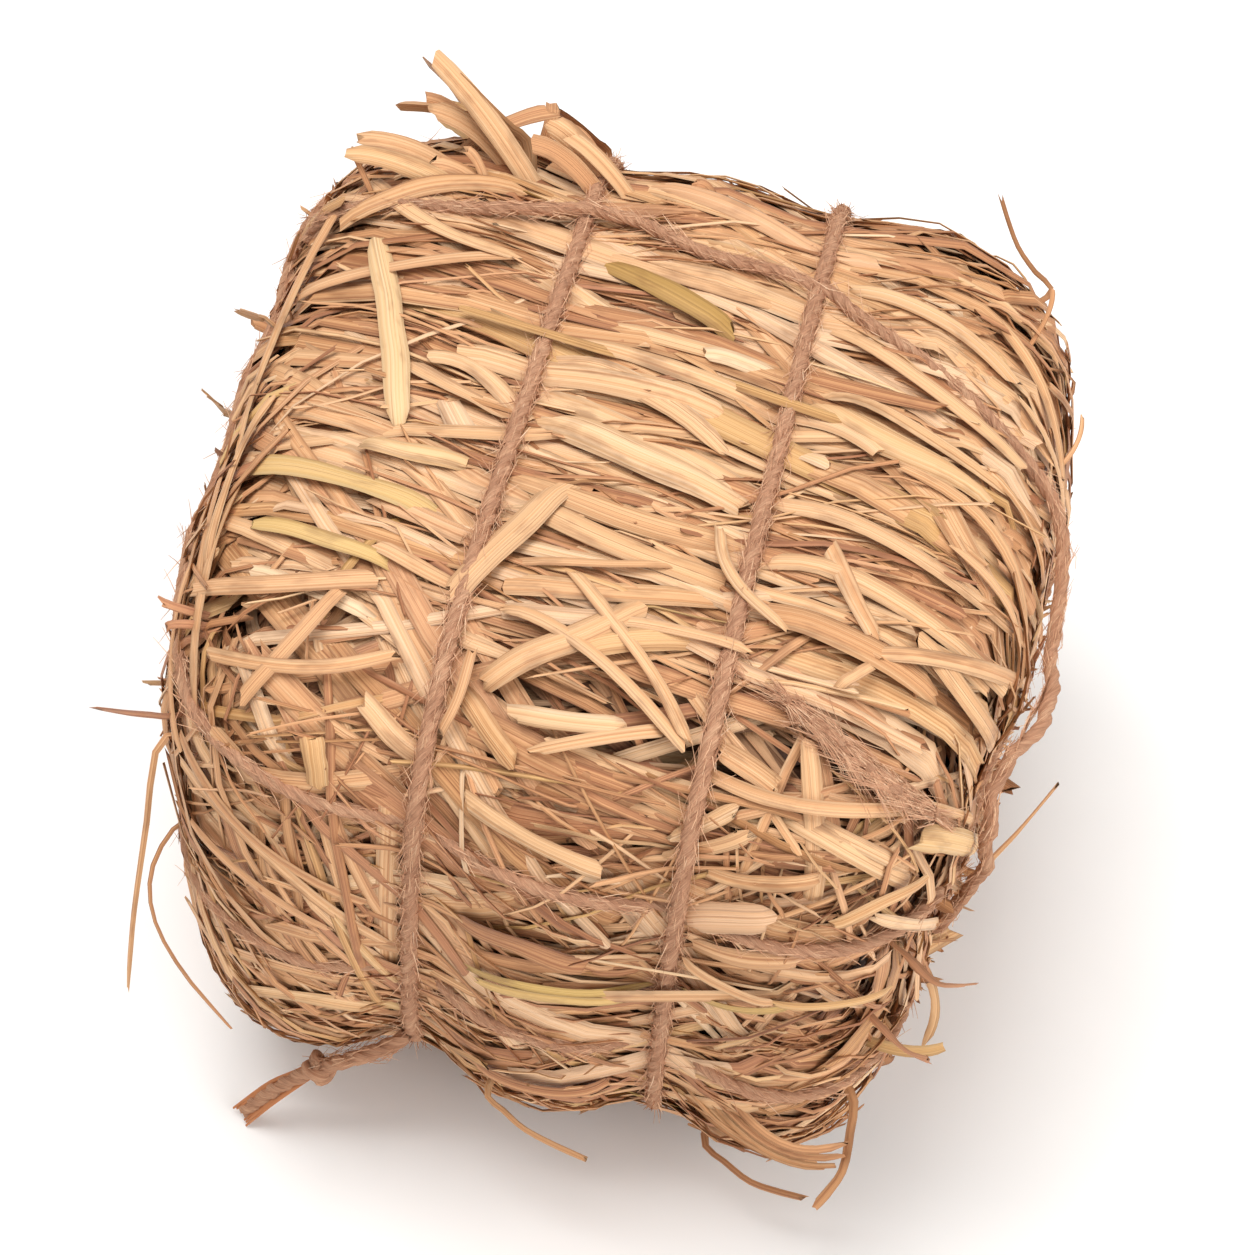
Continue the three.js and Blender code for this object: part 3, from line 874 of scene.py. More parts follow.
# %% [markdown]
# ## Laying the straws
# Straws lie mostly along the bale and turn down over its ends. Each one starts at a random place on
# a side, takes a heading near that side's grain, and walks over the skin in equal steps. All straws of
# a layer walk at once. Neighbours share most of their heading, because straw is pressed in bunches, and
# at two corners the bunches are tangled.

# %% Walking over the skin
# outward, grain and cross directions of each side, and how far straws start along the last two, in mm
SIDES = {
    "top": ((0, 0, 1), (1, 0, 0), (0, 1, 0), 78, 90),
    "foot": ((0, 0, -1), (1, 0, 0), (0, 1, 0), 66, 80),
    "front": ((0, -1, 0), (1, 0, 0), (0, 0, 1), 76, 64),
    "back": ((0, 1, 0), (1, 0, 0), (0, 0, 1), 76, 64),
    "left_end": ((-1, 0, 0), (0, 0, 1), (0, 1, 0), 62, 88),
    "right_end": ((1, 0, 0), (0, 0, 1), (0, 1, 0), 62, 88),
}
SIDE_OUT = 90
WHOLE = ((-1, 1), (-1, 1))
TANGLES = photo_on_skin([(310, 660), (850, 850)])
TANGLE_REACH = 30 * MM


def on_side(side, a, b):
    """Places on a side's skin, with a along its grain and b across it, each from -1 to 1."""
    normal, grain, cross, reach_a, reach_b = (np.array(part, float) for part in SIDES[side])
    return on_skin(MIDDLE + MM * (SIDE_OUT * normal + reach_a * a * grain + reach_b * b * cross))


def walk(start, heading, length, stations, curl):
    """Paths over the skin: at each station the heading is laid flat on the skin, turned sideways by
    its curl times the step, and followed for one step."""
    step = (length / (stations - 1))[:, None]
    place, path, up = on_skin(start), [], []
    for k in range(stations):
        out = outward(place)
        heading = unit(heading - (heading * out).sum(-1, keepdims=True) * out)
        path.append(place)
        up.append(out)
        heading = heading + np.cross(out, heading) * (curl[:, k : k + 1] * step)
        place = on_skin(place + heading * step)
    return np.stack(path, 1), np.stack(up, 1)


def bunching(points, rng):
    """A smooth random number for each place, mostly from -1 to 1: 0.6 of the sum of four waves, each
    30 to 80 mm long."""
    waves = unit(rng.normal(0, 1, (4, 3))) * 2 * np.pi / (MM * rng.uniform(30, 80, (4, 1)))
    return 0.6 * np.sin(points @ waves.T + rng.uniform(0, 6, 4)).sum(-1)


print("the straws are tangled at", TANGLES.round(3), "metres")

# %% [markdown]
# ## A layer of straws and a field of cut ends
# A layer is many straws drawn by chance from the same few numbers. Where the ends of the bale were cut,
# short stubs stand out of it, and they are drawn in the same way but leave the skin.

# %% Layers and stubble
PRESS = 0.8
BUNDLES, BUNDLING = 13, 0.7
NARROW = 1.6 * MM
KINKED = 0.08
FREE_END = 1.2
STRAW_WIDTHS = (0.5, 7)
STUB_WIDTHS = (0.6, 5)
STUB_STATIONS = 4
STUB_ROOT = (7, 9.5)
STUB_GAP = 1.0 * MM


def lay(
    side, rng, straws, length, width, spread, lift, tone,
    shade=1.0, stations=9, tuck=2.5, free=0.1, slope=0.0, sway=1.0, region=WHOLE, stop=999,
):
    """A layer of straws on one side. Lengths, widths and lifts are in millimetres, headings in radians:
    slope plus spread times bunching and chance, up to four times that in a tangle. Places are drawn
    together into bundles by a sine of the place across the grain. A straw bends sideways by its sway, and
    the broader it is, the flatter it lies. Ends dip by `tuck` unless they are free, and then they stand up
    a little. Under the girths every straw is pressed down. The region is a part of the side, and no straw
    goes much past the stop along the grain."""
    _, grain, cross, reach_a, reach_b = (np.array(part, float) for part in SIDES[side])
    a, b = (rng.uniform(*part, (straws, 1)) for part in region)
    row = np.pi * BUNDLES * (b - slope * a * reach_a / reach_b) + 1.5 * np.sin(5 * b)
    middle = on_side(side, a, b - BUNDLING * np.sin(row) / (np.pi * BUNDLES))
    far = np.linalg.norm(middle[:, None] - TANGLES, axis=-1).min(-1)
    wild = 1 + 3 * bell(far / TANGLE_REACH)
    angle = slope + spread * wild * (0.8 * bunching(middle, rng) + 0.6 * rng.normal(0, 1, straws))
    angle = angle[:, None] + np.pi * rng.integers(0, 2, (straws, 1))
    heading = np.cos(angle) * grain + np.sin(angle) * cross
    long = MM * length * rng.lognormal(0, 0.35, straws) / wild**0.4
    half = 0.5 * long[:, None] * np.abs(np.cos(angle))
    place = ((middle - MIDDLE) * grain).sum(-1, keepdims=True)
    edge = MM * (stop + rng.normal(0, 3, (straws, 1)))
    middle = on_skin(middle + grain * np.minimum(0, edge - half - place))
    wide = MM * np.clip(width * rng.lognormal(0, 0.4, straws), *STRAW_WIDTHS)
    curl = sway * (rng.normal(0, 1.0, (straws, 1)) + rng.normal(0, 2.0, (straws, stations)))
    kinked = rng.random(straws) < KINKED
    at = rng.integers(2, stations - 2, straws)
    curl[np.arange(straws), at] += kinked * rng.normal(0, 0.6, straws) / (long / (stations - 1))
    path, up = walk(middle - heading * long[:, None] / 2, heading, long, stations, curl)
    s = np.linspace(0, 1, stations)[None]
    phase = rng.random((2, straws, 1))
    narrow = np.minimum(1, NARROW / wide)[:, None]
    ripple = 0.5 * narrow * np.sin(2 * np.pi * (s * (1 + phase[0]) + phase[1]))
    loose = rng.random((2, straws, 1)) < free
    dip = np.where(np.where(s < 0.5, loose[0], loose[1]), -FREE_END, tuck)
    rise = rng.uniform(*lift, (straws, 1)) + ripple - dip * np.abs(2 * s - 1) ** 4
    rise = rise - (PRESS + np.maximum(rise, 0)) * near_girth(path[..., 0])
    path = path + up * MM * rise[..., None]
    path[..., 2] = np.maximum(path[..., 2], 0.5 * MM + 0.2 * wide[:, None])
    # painted shade: a deep layer's shade value darkens its straws towards brown as the shadow in the gaps
    look = looks(rng, straws, tone, shade)
    return straws_along(path, up, wide, rng, look, arch=0.3 * narrow, roll=0.5 * narrow)


def stubble(side, rng, straws, length, width, lean, tone, region):
    """Cut ends that stand out of a side: each starts inside the skin and goes out along the skin's outward
    direction, leaned by chance and mostly along the side's grain."""
    _, grain, cross, _, _ = (np.array(part, float) for part in SIDES[side])
    a, b = (rng.uniform(*part, (straws, 1)) for part in region)
    root = on_side(side, a, b)
    out = outward(root)
    tilt = lean * rng.normal(0, 1, (straws, 2, 1))
    heading = unit(out + tilt[:, 0] * grain + 0.6 * tilt[:, 1] * cross)
    long = MM * length * np.clip(rng.lognormal(0, 0.3, (straws, 1)), 0.5, 1.35)
    s = np.linspace(0, 1, STUB_STATIONS)[None, :, None]
    start = root - out * MM * rng.uniform(*STUB_ROOT, (straws, 1))
    bend = rng.normal(0, 0.15, (straws, 1, 3))
    path = start[:, None] + long[:, None] * (s * heading[:, None] + s**2 * bend)
    path[..., 2] = np.maximum(path[..., 2], STUB_GAP)
    up = np.broadcast_to(np.cross(heading, rng.normal(0, 1, (straws, 3)))[:, None], path.shape)
    wide = MM * np.clip(width * rng.lognormal(0, 0.4, straws), *STUB_WIDTHS)
    return straws_along(path, up, wide, rng, looks(rng, straws, tone), torn=1.2)


print("straws lie in", BUNDLES, "bundles across each side")

# %% [markdown]
# ## The layers on each side
# The layers go from deep and dark to outer and pale, so a gap between the outer straws shows more straw and
# not a hole. The top has the longest and broadest straws. The front is more tangled, and the ends, where
# the straws were folded or cut, are the shortest. Each side but the foot ends with a layer of fine split
# fibres.

# %% Layers on each side
# painted shade: under and deep layers darkened towards brown by shade and a low tone, as gap shadow
UNDER = dict(shade=0.12, stations=5)
SPLIT = dict(stations=7)
FRONT_STOP = 72
LEFT_TOP, LEFT_FRONT = ((-1, -0.2), (-1, -0.45)), ((-1, -0.1), (0.3, 1))
LEFT_CORNER = ((-1, -0.35), (-0.7, 0.45))
# straws, length, width, spread, lowest and highest lift, tone, and what else isn't as usual
LAYERS = {
    "top": [
        (260, 50, 4.0, 0.4, (-8, -5), 0.2, UNDER),
        (310, 120, 2.1, 0.1, (-6, -3), 0.44, dict(shade=0.5, slope=-0.13, sway=0.5)),
        (110, 48, 2.8, 0.35, (-5, -2), 0.44, dict(shade=0.7, region=LEFT_TOP)),
        (360, 130, 2.1, 0.07, (-3.8, -0.6), 0.55, dict(slope=-0.14, sway=0.3, tuck=1.6, free=0.15)),
        (150, 120, 4.4, 0.06, (-1.8, 0.6), 0.6, dict(slope=-0.14, sway=0.15, tuck=0.8, free=0.2)),
        (360, 46, 0.7, 0.25, (-1.6, 0.9), 0.5, dict(SPLIT, free=0.3)),
    ],
    "front": [
        (290, 50, 4.0, 0.4, (-8, -5), 0.2, UNDER),
        (380, 65, 2.1, 0.22, (-6, -3), 0.38, dict(shade=0.5, stop=FRONT_STOP)),
        (420, 65, 1.7, 0.2, (-3, 0), 0.52, dict(stop=FRONT_STOP)),
        (60, 55, 4.4, 0.3, (-1.6, 0.2), 0.58, dict(stop=FRONT_STOP)),
        (110, 48, 2.8, 0.35, (-5, -2), 0.44, dict(shade=0.7, region=LEFT_FRONT)),
        (150, 80, 1.8, 0.2, (-2, 1.2), 0.5, dict(slope=-0.8, region=LEFT_CORNER)),
        (380, 30, 0.7, 0.5, (-1.6, 1), 0.48, dict(SPLIT, free=0.35, stop=74)),
    ],
    "back": [
        (260, 50, 4.0, 0.4, (-8, -5), 0.2, UNDER),
        (310, 85, 2.7, 0.18, (-5.5, -2.5), 0.44, dict(shade=0.55, sway=0.7)),
        (400, 90, 2.3, 0.14, (-3, 0.4), 0.52, dict(sway=0.7)),
        (180, 40, 0.7, 0.4, (-1.6, 1), 0.5, dict(SPLIT, free=0.3)),
    ],
    "left_end": [
        (250, 40, 4.0, 0.4, (-8, -5), 0.2, UNDER),
        (300, 60, 2.4, 0.3, (-5.5, -2), 0.42, dict(shade=0.55)),
        (400, 70, 2.0, 0.22, (-2.5, 1.5), 0.5, dict(free=0.12)),
        (160, 28, 0.7, 0.6, (-1.6, 1.4), 0.48, dict(SPLIT, free=0.35)),
    ],
    "right_end": [
        (200, 36, 4.0, 0.4, (-8, -5), 0.2, UNDER),
        (240, 40, 2.6, 0.4, (-6, -2.5), 0.44, dict(shade=0.66)),
        (240, 44, 2.2, 0.3, (-3, 1.2), 0.54, dict(free=0.2)),
        (160, 26, 0.7, 0.7, (-1.6, 1.4), 0.52, dict(SPLIT, free=0.4)),
    ],
    "foot": [
        (160, 50, 4.0, 0.4, (-8, -5), 0.2, UNDER),
        (220, 80, 3.2, 0.18, (-2.5, 0), 0.46, dict(free=0.0)),
    ],
}
CUT_END = ((-0.95, 0.5), (-0.98, 0.95))
# straws, length, width, lean, tone and region
STUBBLE = {
    "right_end": (460, 9, 2.0, 0.8, 0.52, CUT_END),
    "left_end": (160, 9, 1.8, 1.2, 0.48, WHOLE),
}
for side, layers in LAYERS.items():
    strips = [lay(side, rng, *row, **other) for *row, other in layers]
    if side in STUBBLE:
        strips.append(stubble(side, rng, *STUBBLE[side]))
    make_piece(f"{side}_straws", strips, straw_finish)

# %% [markdown]
# ## Straws that the photograph shows one by one
# The eye finds the same broad and crossing straws again in a picture, so these are laid one by one. Each is
# given by three pixels, its width, tone and tint. A smooth line through the pixels is carried to
# the skin along the camera's rays, so each straw still lies on the bale from every other side.

# %% Placed straws
PLACED_STATIONS = 13
LOWER = 1.0
OVER_GIRTH = 3.0
# width in mm, tone, tint, lift in mm, and the pixels; straws with a high lift go over the girths
PLACED = [
    (4.5, 0.74, -0.1, 2.6, (548, 364), (627, 386), (725, 456)),
    (5.2, 0.72, 0.0, 1.6, (537, 392), (650, 440), (767, 504)),
    (5.0, 0.6, 0.1, 1.4, (515, 476), (640, 525), (745, 549)),
    (4.0, 0.72, -0.2, 2.0, (408, 366), (460, 395), (515, 414)),
    (3.8, 0.66, 0.0, 1.8, (380, 451), (440, 460), (500, 462)),
    (5.0, 0.74, -0.5, 1.8, (380, 498), (425, 520), (473, 535)),
    (5.0, 0.62, 0.0, 2.0, (529, 504), (630, 555), (725, 583)),
    (4.6, 0.6, 0.1, 1.8, (503, 583), (610, 595), (711, 599)),
    (3.4, 0.95, -0.4, 2.2, (503, 611), (570, 620), (627, 622)),
    (2.6, 0.66, -0.1, 3.2, (574, 577), (640, 665), (689, 745)),
    (2.8, 0.66, -0.2, 3.0, (501, 613), (575, 645), (683, 748)),
    (4.6, 0.62, 0.25, 2.4, (590, 650), (645, 642), (700, 641)),
    (2.2, 0.7, -0.2, 3.4, (621, 625), (690, 640), (748, 655)),
    (2.4, 0.74, -0.1, 3.2, (718, 535), (731, 585), (784, 633)),
    (2.2, 0.64, -0.2, 2.6, (512, 563), (600, 570), (677, 568)),
    (2.5, 0.7, -0.1, 2.8, (534, 751), (600, 738), (658, 731)),
    (3.5, 0.8, 0.1, 2.2, (512, 712), (570, 722), (621, 726)),
    (4.0, 0.58, 0.2, 2.4, (464, 692), (490, 728), (515, 762)),
    (2.0, 0.62, -0.3, 3.4, (444, 728), (462, 695), (473, 655)),
    (3.5, 0.72, 0.0, 2.0, (554, 336), (670, 372), (778, 411)),
    (4.0, 0.7, 0.0, 1.8, (618, 330), (705, 355), (790, 378)),
    (4.0, 0.95, 0.0, 2.6, (705, 358), (745, 370), (784, 380)),
    (3.5, 0.9, -0.2, 2.6, (767, 434), (795, 450), (825, 466)),
    (5.2, 0.72, -0.1, 2.2, (780, 408), (830, 425), (880, 455)),
    (3.0, 0.64, -0.2, 2.6, (380, 549), (420, 570), (461, 585)),
    (3.4, 0.66, -0.2, 3.0, (878, 657), (955, 668), (1030, 688)),
    (4.5, 0.62, 0.1, 2.6, (918, 643), (960, 700), (996, 752)),
    (2.2, 0.66, -0.1, 3.4, (836, 690), (855, 678), (870, 668)),
    (2.6, 0.62, -0.2, 2.8, (707, 772), (797, 806), (901, 808)),
    (4.0, 0.56, 0.1, 2.2, (718, 747), (750, 768), (780, 791)),
    (3.0, 0.74, 0.1, 2.8, (671, 839), (705, 824), (735, 808)),
    (3.0, 0.66, 0.0, 2.4, (668, 859), (710, 848), (747, 834)),
    (3.0, 0.58, 0.0, 2.2, (710, 873), (760, 880), (814, 878)),
    (6.5, 0.86, -0.6, 2.2, (688, 921), (730, 915), (772, 915)),
    (4.0, 0.6, -0.2, 2.2, (696, 946), (750, 955), (803, 954)),
    (2.0, 0.66, -0.1, 3.0, (685, 954), (730, 980), (772, 996)),
    (2.0, 0.66, 0.4, 3.0, (772, 996), (830, 996), (884, 985)),
    (2.2, 0.62, 0.9, 2.6, (682, 991), (735, 1002), (786, 1002)),
    (2.0, 0.6, 1.0, 2.6, (470, 965), (560, 984), (650, 985)),
    (2.0, 0.64, 0.8, 2.6, (480, 978), (560, 992), (640, 996)),
    (3.0, 0.64, 0.2, 2.6, (831, 921), (875, 898), (918, 878)),
    (5.0, 0.7, 0.4, 3.0, (915, 836), (945, 838), (971, 845)),
    (2.5, 0.9, -0.1, 3.2, (870, 912), (915, 918), (960, 926)),
    (4.4, 0.74, -0.1, 2.2, (425, 360), (480, 375), (530, 420)),
    (3.4, 0.66, -0.3, 2.4, (300, 300), (380, 275), (505, 258)),
    (3.2, 0.7, -0.1, 2.2, (375, 185), (440, 235), (520, 260)),
    (4.2, 0.7, 0.0, 2.2, (630, 185), (720, 215), (810, 245)),
    (4.0, 0.66, -0.2, 2.0, (600, 255), (700, 290), (790, 310)),
    (4.0, 0.74, 0.0, 2.2, (850, 290), (940, 325), (1010, 385)),
    (3.6, 0.68, -0.1, 2.4, (835, 330), (920, 385), (1020, 470)),
    (4.4, 0.72, 0.0, 2.2, (820, 395), (900, 425), (1010, 500)),
    (4.2, 0.7, -0.2, 2.2, (770, 500), (890, 545), (1020, 640)),
    (4.0, 0.66, 0.0, 2.2, (745, 560), (860, 585), (1000, 690)),
    (3.4, 0.7, -0.2, 2.4, (830, 550), (850, 600), (872, 640)),
    (3.0, 0.58, -0.2, 2.2, (185, 735), (250, 830), (360, 900)),
    (2.6, 0.64, -0.1, 2.4, (185, 760), (280, 860), (395, 950)),
    (2.4, 0.6, -0.3, 2.4, (195, 820), (260, 880), (330, 925)),
    (4.0, 0.64, -0.3, 2.2, (200, 590), (280, 588), (370, 580)),
    (3.0, 0.6, -0.2, 2.6, (245, 700), (295, 645), (345, 590)),
    (2.6, 0.62, -0.1, 2.8, (215, 655), (310, 670), (395, 655)),
    (4.2, 0.54, 0.3, 2.4, (312, 735), (318, 760), (320, 785)),
    (3.6, 0.7, 0.0, 2.4, (470, 800), (540, 840), (600, 868)),
    (3.4, 0.7, 0.2, 2.2, (235, 985), (310, 992), (385, 1010)),
    (3.0, 0.62, 0.0, 2.2, (215, 940), (300, 965), (390, 985)),
    (4.0, 0.66, -0.2, 2.6, (365, 700), (395, 735), (425, 760)),
    (2.6, 0.6, -0.1, 2.2, (345, 205), (292, 310), (252, 415)),
    (2.2, 0.66, 0.0, 2.6, (318, 260), (270, 370), (240, 470)),
    (3.0, 0.56, -0.2, 2.0, (262, 390), (222, 490), (200, 590)),
    (2.4, 0.68, 0.0, 2.4, (275, 400), (236, 480), (210, 570)),
    (2.2, 0.6, 0.1, 2.4, (222, 480), (192, 590), (184, 690)),
    (2.6, 0.64, -0.1, 2.2, (240, 490), (206, 600), (200, 715)),
    (2.0, 0.58, -0.3, 2.6, (198, 560), (180, 660), (186, 750)),
    (3.0, 0.62, 0.0, 2.2, (1000, 330), (1048, 420), (1056, 530)),
    (2.6, 0.68, -0.1, 2.4, (1015, 400), (1055, 490), (1046, 600)),
    (3.2, 0.6, 0.0, 2.2, (985, 470), (1036, 560), (1026, 660)),
    (2.4, 0.66, -0.2, 2.4, (950, 550), (1008, 620), (1006, 700)),
    (2.8, 0.58, 0.0, 2.2, (900, 470), (1000, 550), (1018, 680)),
]


def parabola(knots, stations):
    """A line through each three points: at s they weigh (1-s)(1-2s), 4s(1-s) and s(2s-1)."""
    s = np.linspace(0, 1, stations)[None, :, None]
    first, second, third = (knots[:, i, None] for i in range(3))
    return first * (1 - s) * (1 - 2 * s) + 4 * second * s * (1 - s) + third * s * (2 * s - 1)


def relaxed(path, rounds=3):
    """Paths with their inner points moved to the mean of themselves and their neighbours, a few times."""
    for _ in range(rounds):
        path[:, 1:-1] = (path[:, :-2] + 2 * path[:, 1:-1] + path[:, 2:]) / 4
    return path


def placed_straws(rows, stations):
    """Paths for straws given by pixels: a parabola through the three pixels, carried to the skin,
    relaxed, and raised by each straw's lift, less at its ends."""
    path = relaxed(photo_on_skin(parabola(np.array([row[4:] for row in rows], float), stations)))
    up = outward(path)
    s = np.linspace(-1, 1, stations)[None]
    lift = np.array([row[3] for row in rows])[:, None]
    press = np.where(lift < OVER_GIRTH, near_girth(path[..., 0]), 0)
    rise = (lift - LOWER) * (1 - 0.45 * np.abs(s) ** 5)
    rise = rise - (PRESS + np.maximum(rise, 0)) * press
    return path + up * MM * rise[..., None], up


def given_straws(rows, path, up, roll):
    """Straws along paths, with the width in mm, tone and tint that begin each row."""
    width, tone, tint = np.array([row[:3] for row in rows]).T
    look = np.stack([tone, tint, np.ones(len(rows))], -1)
    return straws_along(path, up, width * MM, rng, look, roll=roll)


placed = given_straws(PLACED, *placed_straws(PLACED, PLACED_STATIONS), roll=0.25)
make_piece("placed_straws", [placed], straw_finish)

# %% [markdown]
# ## The imported straw behind the gaps
# Between the outer straws one sees more straw, dark because little light gets in, and that shade is
# painted into its colour. A grid over the skin, sunk by a few millimetres and fluted along the straws,
# stands for it.

# %% Packed straw
SINK = 8.5 * MM
PACKED_TILTS, PACKED_TURNS = 64, 200
PACKED_GAP = 1.5 * MM
# tone, tint and painted shade: the core is painted near dark brown as the shadow between the straws
PACKED_LOOK = np.array([[0.2, 0.0, 0.2]])
AROUND_RADIUS = 0.09

tilt, turn, out = angle_grid(PACKED_TILTS, PACKED_TURNS)
flutes = np.sin(turn * 90 + 3 * np.sin(4 * tilt)) * 0.5 + np.sin(turn * 37 + 5 * np.sin(3 * tilt + 1)) * 0.7
packed = MIDDLE + out * (radius(out) - SINK + MM * flutes)[..., None]
packed[..., 2] = np.maximum(packed[..., 2], PACKED_GAP)
grain = grain_of(packed, packed[..., 0], turn * AROUND_RADIUS, 0.5)
core = {"points": packed[None], "grain": grain[None], "look": PACKED_LOOK, "long": 1.0}
make_piece("packed_straw", [core], packed_finish, ["straw_bale"])

# %% [markdown]
# ## Loose straws
# Single straws lie across the bale or stick out of it. Each has its own solid in the frame, a strip of a few
# boxes, so its corners come in rings of four along it. The rings' middles give the straw's line. A straw that
# lies on the bale is put down on the skin and pressed under the girths. One that sticks out keeps its
# line, with a root added inside the bale so that it grows out of it.

# %% Loose straws
LYING = 1.4
ROOT_DEPTH = 5 * MM
LOOSE_KINDS = ("straw", "stray", "tuft", "stub")
LOOSE_STATIONS = 14
LOOSE_TONE = 0.62
# tone and tint of the straws whose colour the photograph shows; the others are drawn by chance
LOOSE_TONES = {
    "straw_yellow_left": (0.82, 0.35), "straw_folded_leg": (0.8, 0.3), "straw_cream_broad": (0.8, 0.0),
    "straw_broad_middle": (0.72, -0.1), "straw_over_girth": (0.68, -0.1), "straw_olive": (0.24, 0.75),
    "straw_green_left": (0.75, 0.7), "straw_yellow_thin": (0.7, 0.8), "stray_left_orange": (0.3, -0.9),
    "stray_left_bent": (0.5, -0.1), "stray_left_hair": (0.42, -0.2), "stray_right_stick": (0.5, 0.2),
    "stray_right_flat": (0.4, -0.5), "stray_right_leaf": (0.34, -0.9), "stray_front_right": (0.5, -0.1),
    "stray_top_thin": (0.45, -0.1), "tuft_broad": (0.62, 0.0), "tuft_low": (0.56, -0.2),
    "tuft_side": (0.52, -0.2),
}
# share of the solid's width that the thinnest straws keep
THIN = {
    "stray_left_hair": 0.4, "stray_left_bent": 0.8, "stray_front_low": 0.6, "stray_front_middle": 0.6,
    "stray_front_right": 0.7, "stray_top_thin": 0.6, "stray_right_stick": 0.7,
}


def straw_from_solid(node, stations):
    """Middle line, upward direction and width of a straw. Corners sorted along their longest direction
    make the rings; a ring's longest diagonal is the width, less for the thinnest straws, and the up is the
    skin's outward direction for a lying straw and otherwise the thin direction of the whole strip."""
    points = np.unique(node_points(node).round(6), axis=0)
    centre = points.mean(0)
    _, _, directions = np.linalg.svd(points - centre, full_matrices=False)
    rings = points[np.argsort(points @ directions[0])].reshape(-1, 4, 3)
    width = np.linalg.norm(rings[:, :, None] - rings[:, None], axis=-1).max() * THIN.get(node, 1.0)
    middles = rings.mean(1)
    if node.startswith("straw"):
        line = relaxed(on_skin(curve_through(middles, stations))[None])[0]
        up = outward(line)
        s = np.linspace(-1, 1, stations)
        rise = LYING * (1 - 0.9 * np.abs(s) ** 5)
        under = near_girth(line[:, 0]) * (node != "straw_over_girth")
        rise = rise - (PRESS + rise) * under
        return line + up * MM * rise[:, None], up, width
    middles = middles if height(middles[0]) < height(middles[-1]) else middles[::-1]
    root = on_skin(middles[0]) - ROOT_DEPTH * outward(middles[0])
    line = curve_through(np.concatenate([[root], middles]), stations)
    face = directions[2] * np.sign(directions[2] @ (centre - MIDDLE))
    return line, np.broadcast_to(face, line.shape), width


loose_nodes = [n for n in sorted(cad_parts) if n.split("_")[0] in LOOSE_KINDS and n != "straw_bale"]
path, up, width = map(np.stack, zip(*(straw_from_solid(n, LOOSE_STATIONS) for n in loose_nodes)))
loose_looks = looks(rng, len(loose_nodes), LOOSE_TONE)
loose_looks[:, :2] = [LOOSE_TONES.get(n, drawn) for n, drawn in zip(loose_nodes, loose_looks[:, :2])]
loose = straws_along(path, up, width, rng, loose_looks, roll=0.3)
make_piece("loose_straws", [loose], straw_finish, loose_nodes)

# %% [markdown]
# ## Straws that stand out
# Some straws leave the bale, most of all in a tuft on its far left corner. Each is given by pixels too: the
# first one is on the skin, and the others are put on a plane through that place which faces the camera,
# so the straw has its root in the bale and its tip where the photograph has it.

# %% Standing straws
STANDING_STATIONS = 11
STANDING_ROOT = 3 * MM
STANDING_GAP = 1.5 * MM
STANDING_UP = 0.7 * view_back + 0.3 * np.array([0, 0, 1])
# width in mm, tone, tint, and the pixels of root, middle and tip
STANDING = [
    (1.4, 0.5, -0.1, (665, 1086), (735, 1136), (812, 1162)),
    (1.2, 0.55, 0.0, (690, 1092), (760, 1146), (832, 1164)),
    (1.6, 0.48, -0.2, (715, 1096), (778, 1140), (842, 1142)),
    (1.2, 0.58, 0.0, (680, 1090), (748, 1142), (820, 1168)),
    (1.4, 0.5, -0.2, (700, 1094), (768, 1142), (838, 1154)),
    (1.0, 0.6, 0.1, (672, 1084), (728, 1128), (800, 1156)),
    (4.6, 0.7, 0.0, (543, 186), (490, 122), (437, 60)),
    (2.0, 0.55, -0.2, (465, 92), (452, 70), (438, 54)),
    (4.0, 0.52, -0.2, (475, 112), (440, 98), (410, 90)),
    (6.0, 0.66, 0.4, (490, 138), (468, 124), (444, 114)),
    (3.6, 0.5, -0.2, (455, 145), (500, 128), (549, 112)),
    (3.0, 0.5, -0.1, (545, 150), (550, 128), (553, 108)),
    (5.0, 0.58, 0.0, (622, 190), (585, 152), (550, 124)),
    (4.0, 0.5, -0.2, (612, 200), (572, 166), (536, 146)),
    (3.4, 0.62, 0.0, (640, 200), (606, 168), (574, 140)),
    (4.2, 0.6, -0.1, (520, 170), (480, 135), (432, 112)),
    (3.0, 0.52, -0.2, (500, 150), (462, 118), (424, 100)),
    (1.4, 0.5, -0.4, (405, 104), (398, 107), (391, 110)),
    (4.0, 0.6, -0.1, (470, 170), (415, 150), (362, 140)),
    (4.4, 0.66, 0.2, (480, 190), (410, 168), (350, 155)),
    (1.2, 0.45, -0.3, (360, 170), (350, 150), (340, 129)),
    (2.2, 0.42, -0.3, (230, 400), (222, 394), (216, 388)),
    (2.4, 0.45, -0.2, (268, 330), (258, 322), (250, 320)),
    (1.6, 0.36, -0.8, (205, 612), (180, 608), (164, 602)),
    (1.6, 0.36, -0.8, (205, 622), (182, 624), (168, 628)),
    (2.4, 0.55, 0.6, (190, 540), (182, 565), (174, 592)),
    (2.0, 0.4, -0.3, (720, 200), (708, 190), (694, 186)),
    (1.6, 0.45, -0.3, (615, 175), (592, 145), (572, 128)),
    (1.0, 0.5, -0.1, (1035, 345), (1046, 318), (1052, 290)),
    (1.0, 0.5, -0.2, (1058, 480), (1072, 452), (1082, 420)),
    (2.2, 0.62, 0.5, (870, 1045), (905, 1050), (942, 1046)),
    (2.0, 0.62, 0.2, (930, 960), (936, 1000), (926, 1042)),
    (1.8, 0.42, -0.5, (880, 1090), (892, 1082), (902, 1076)),
]


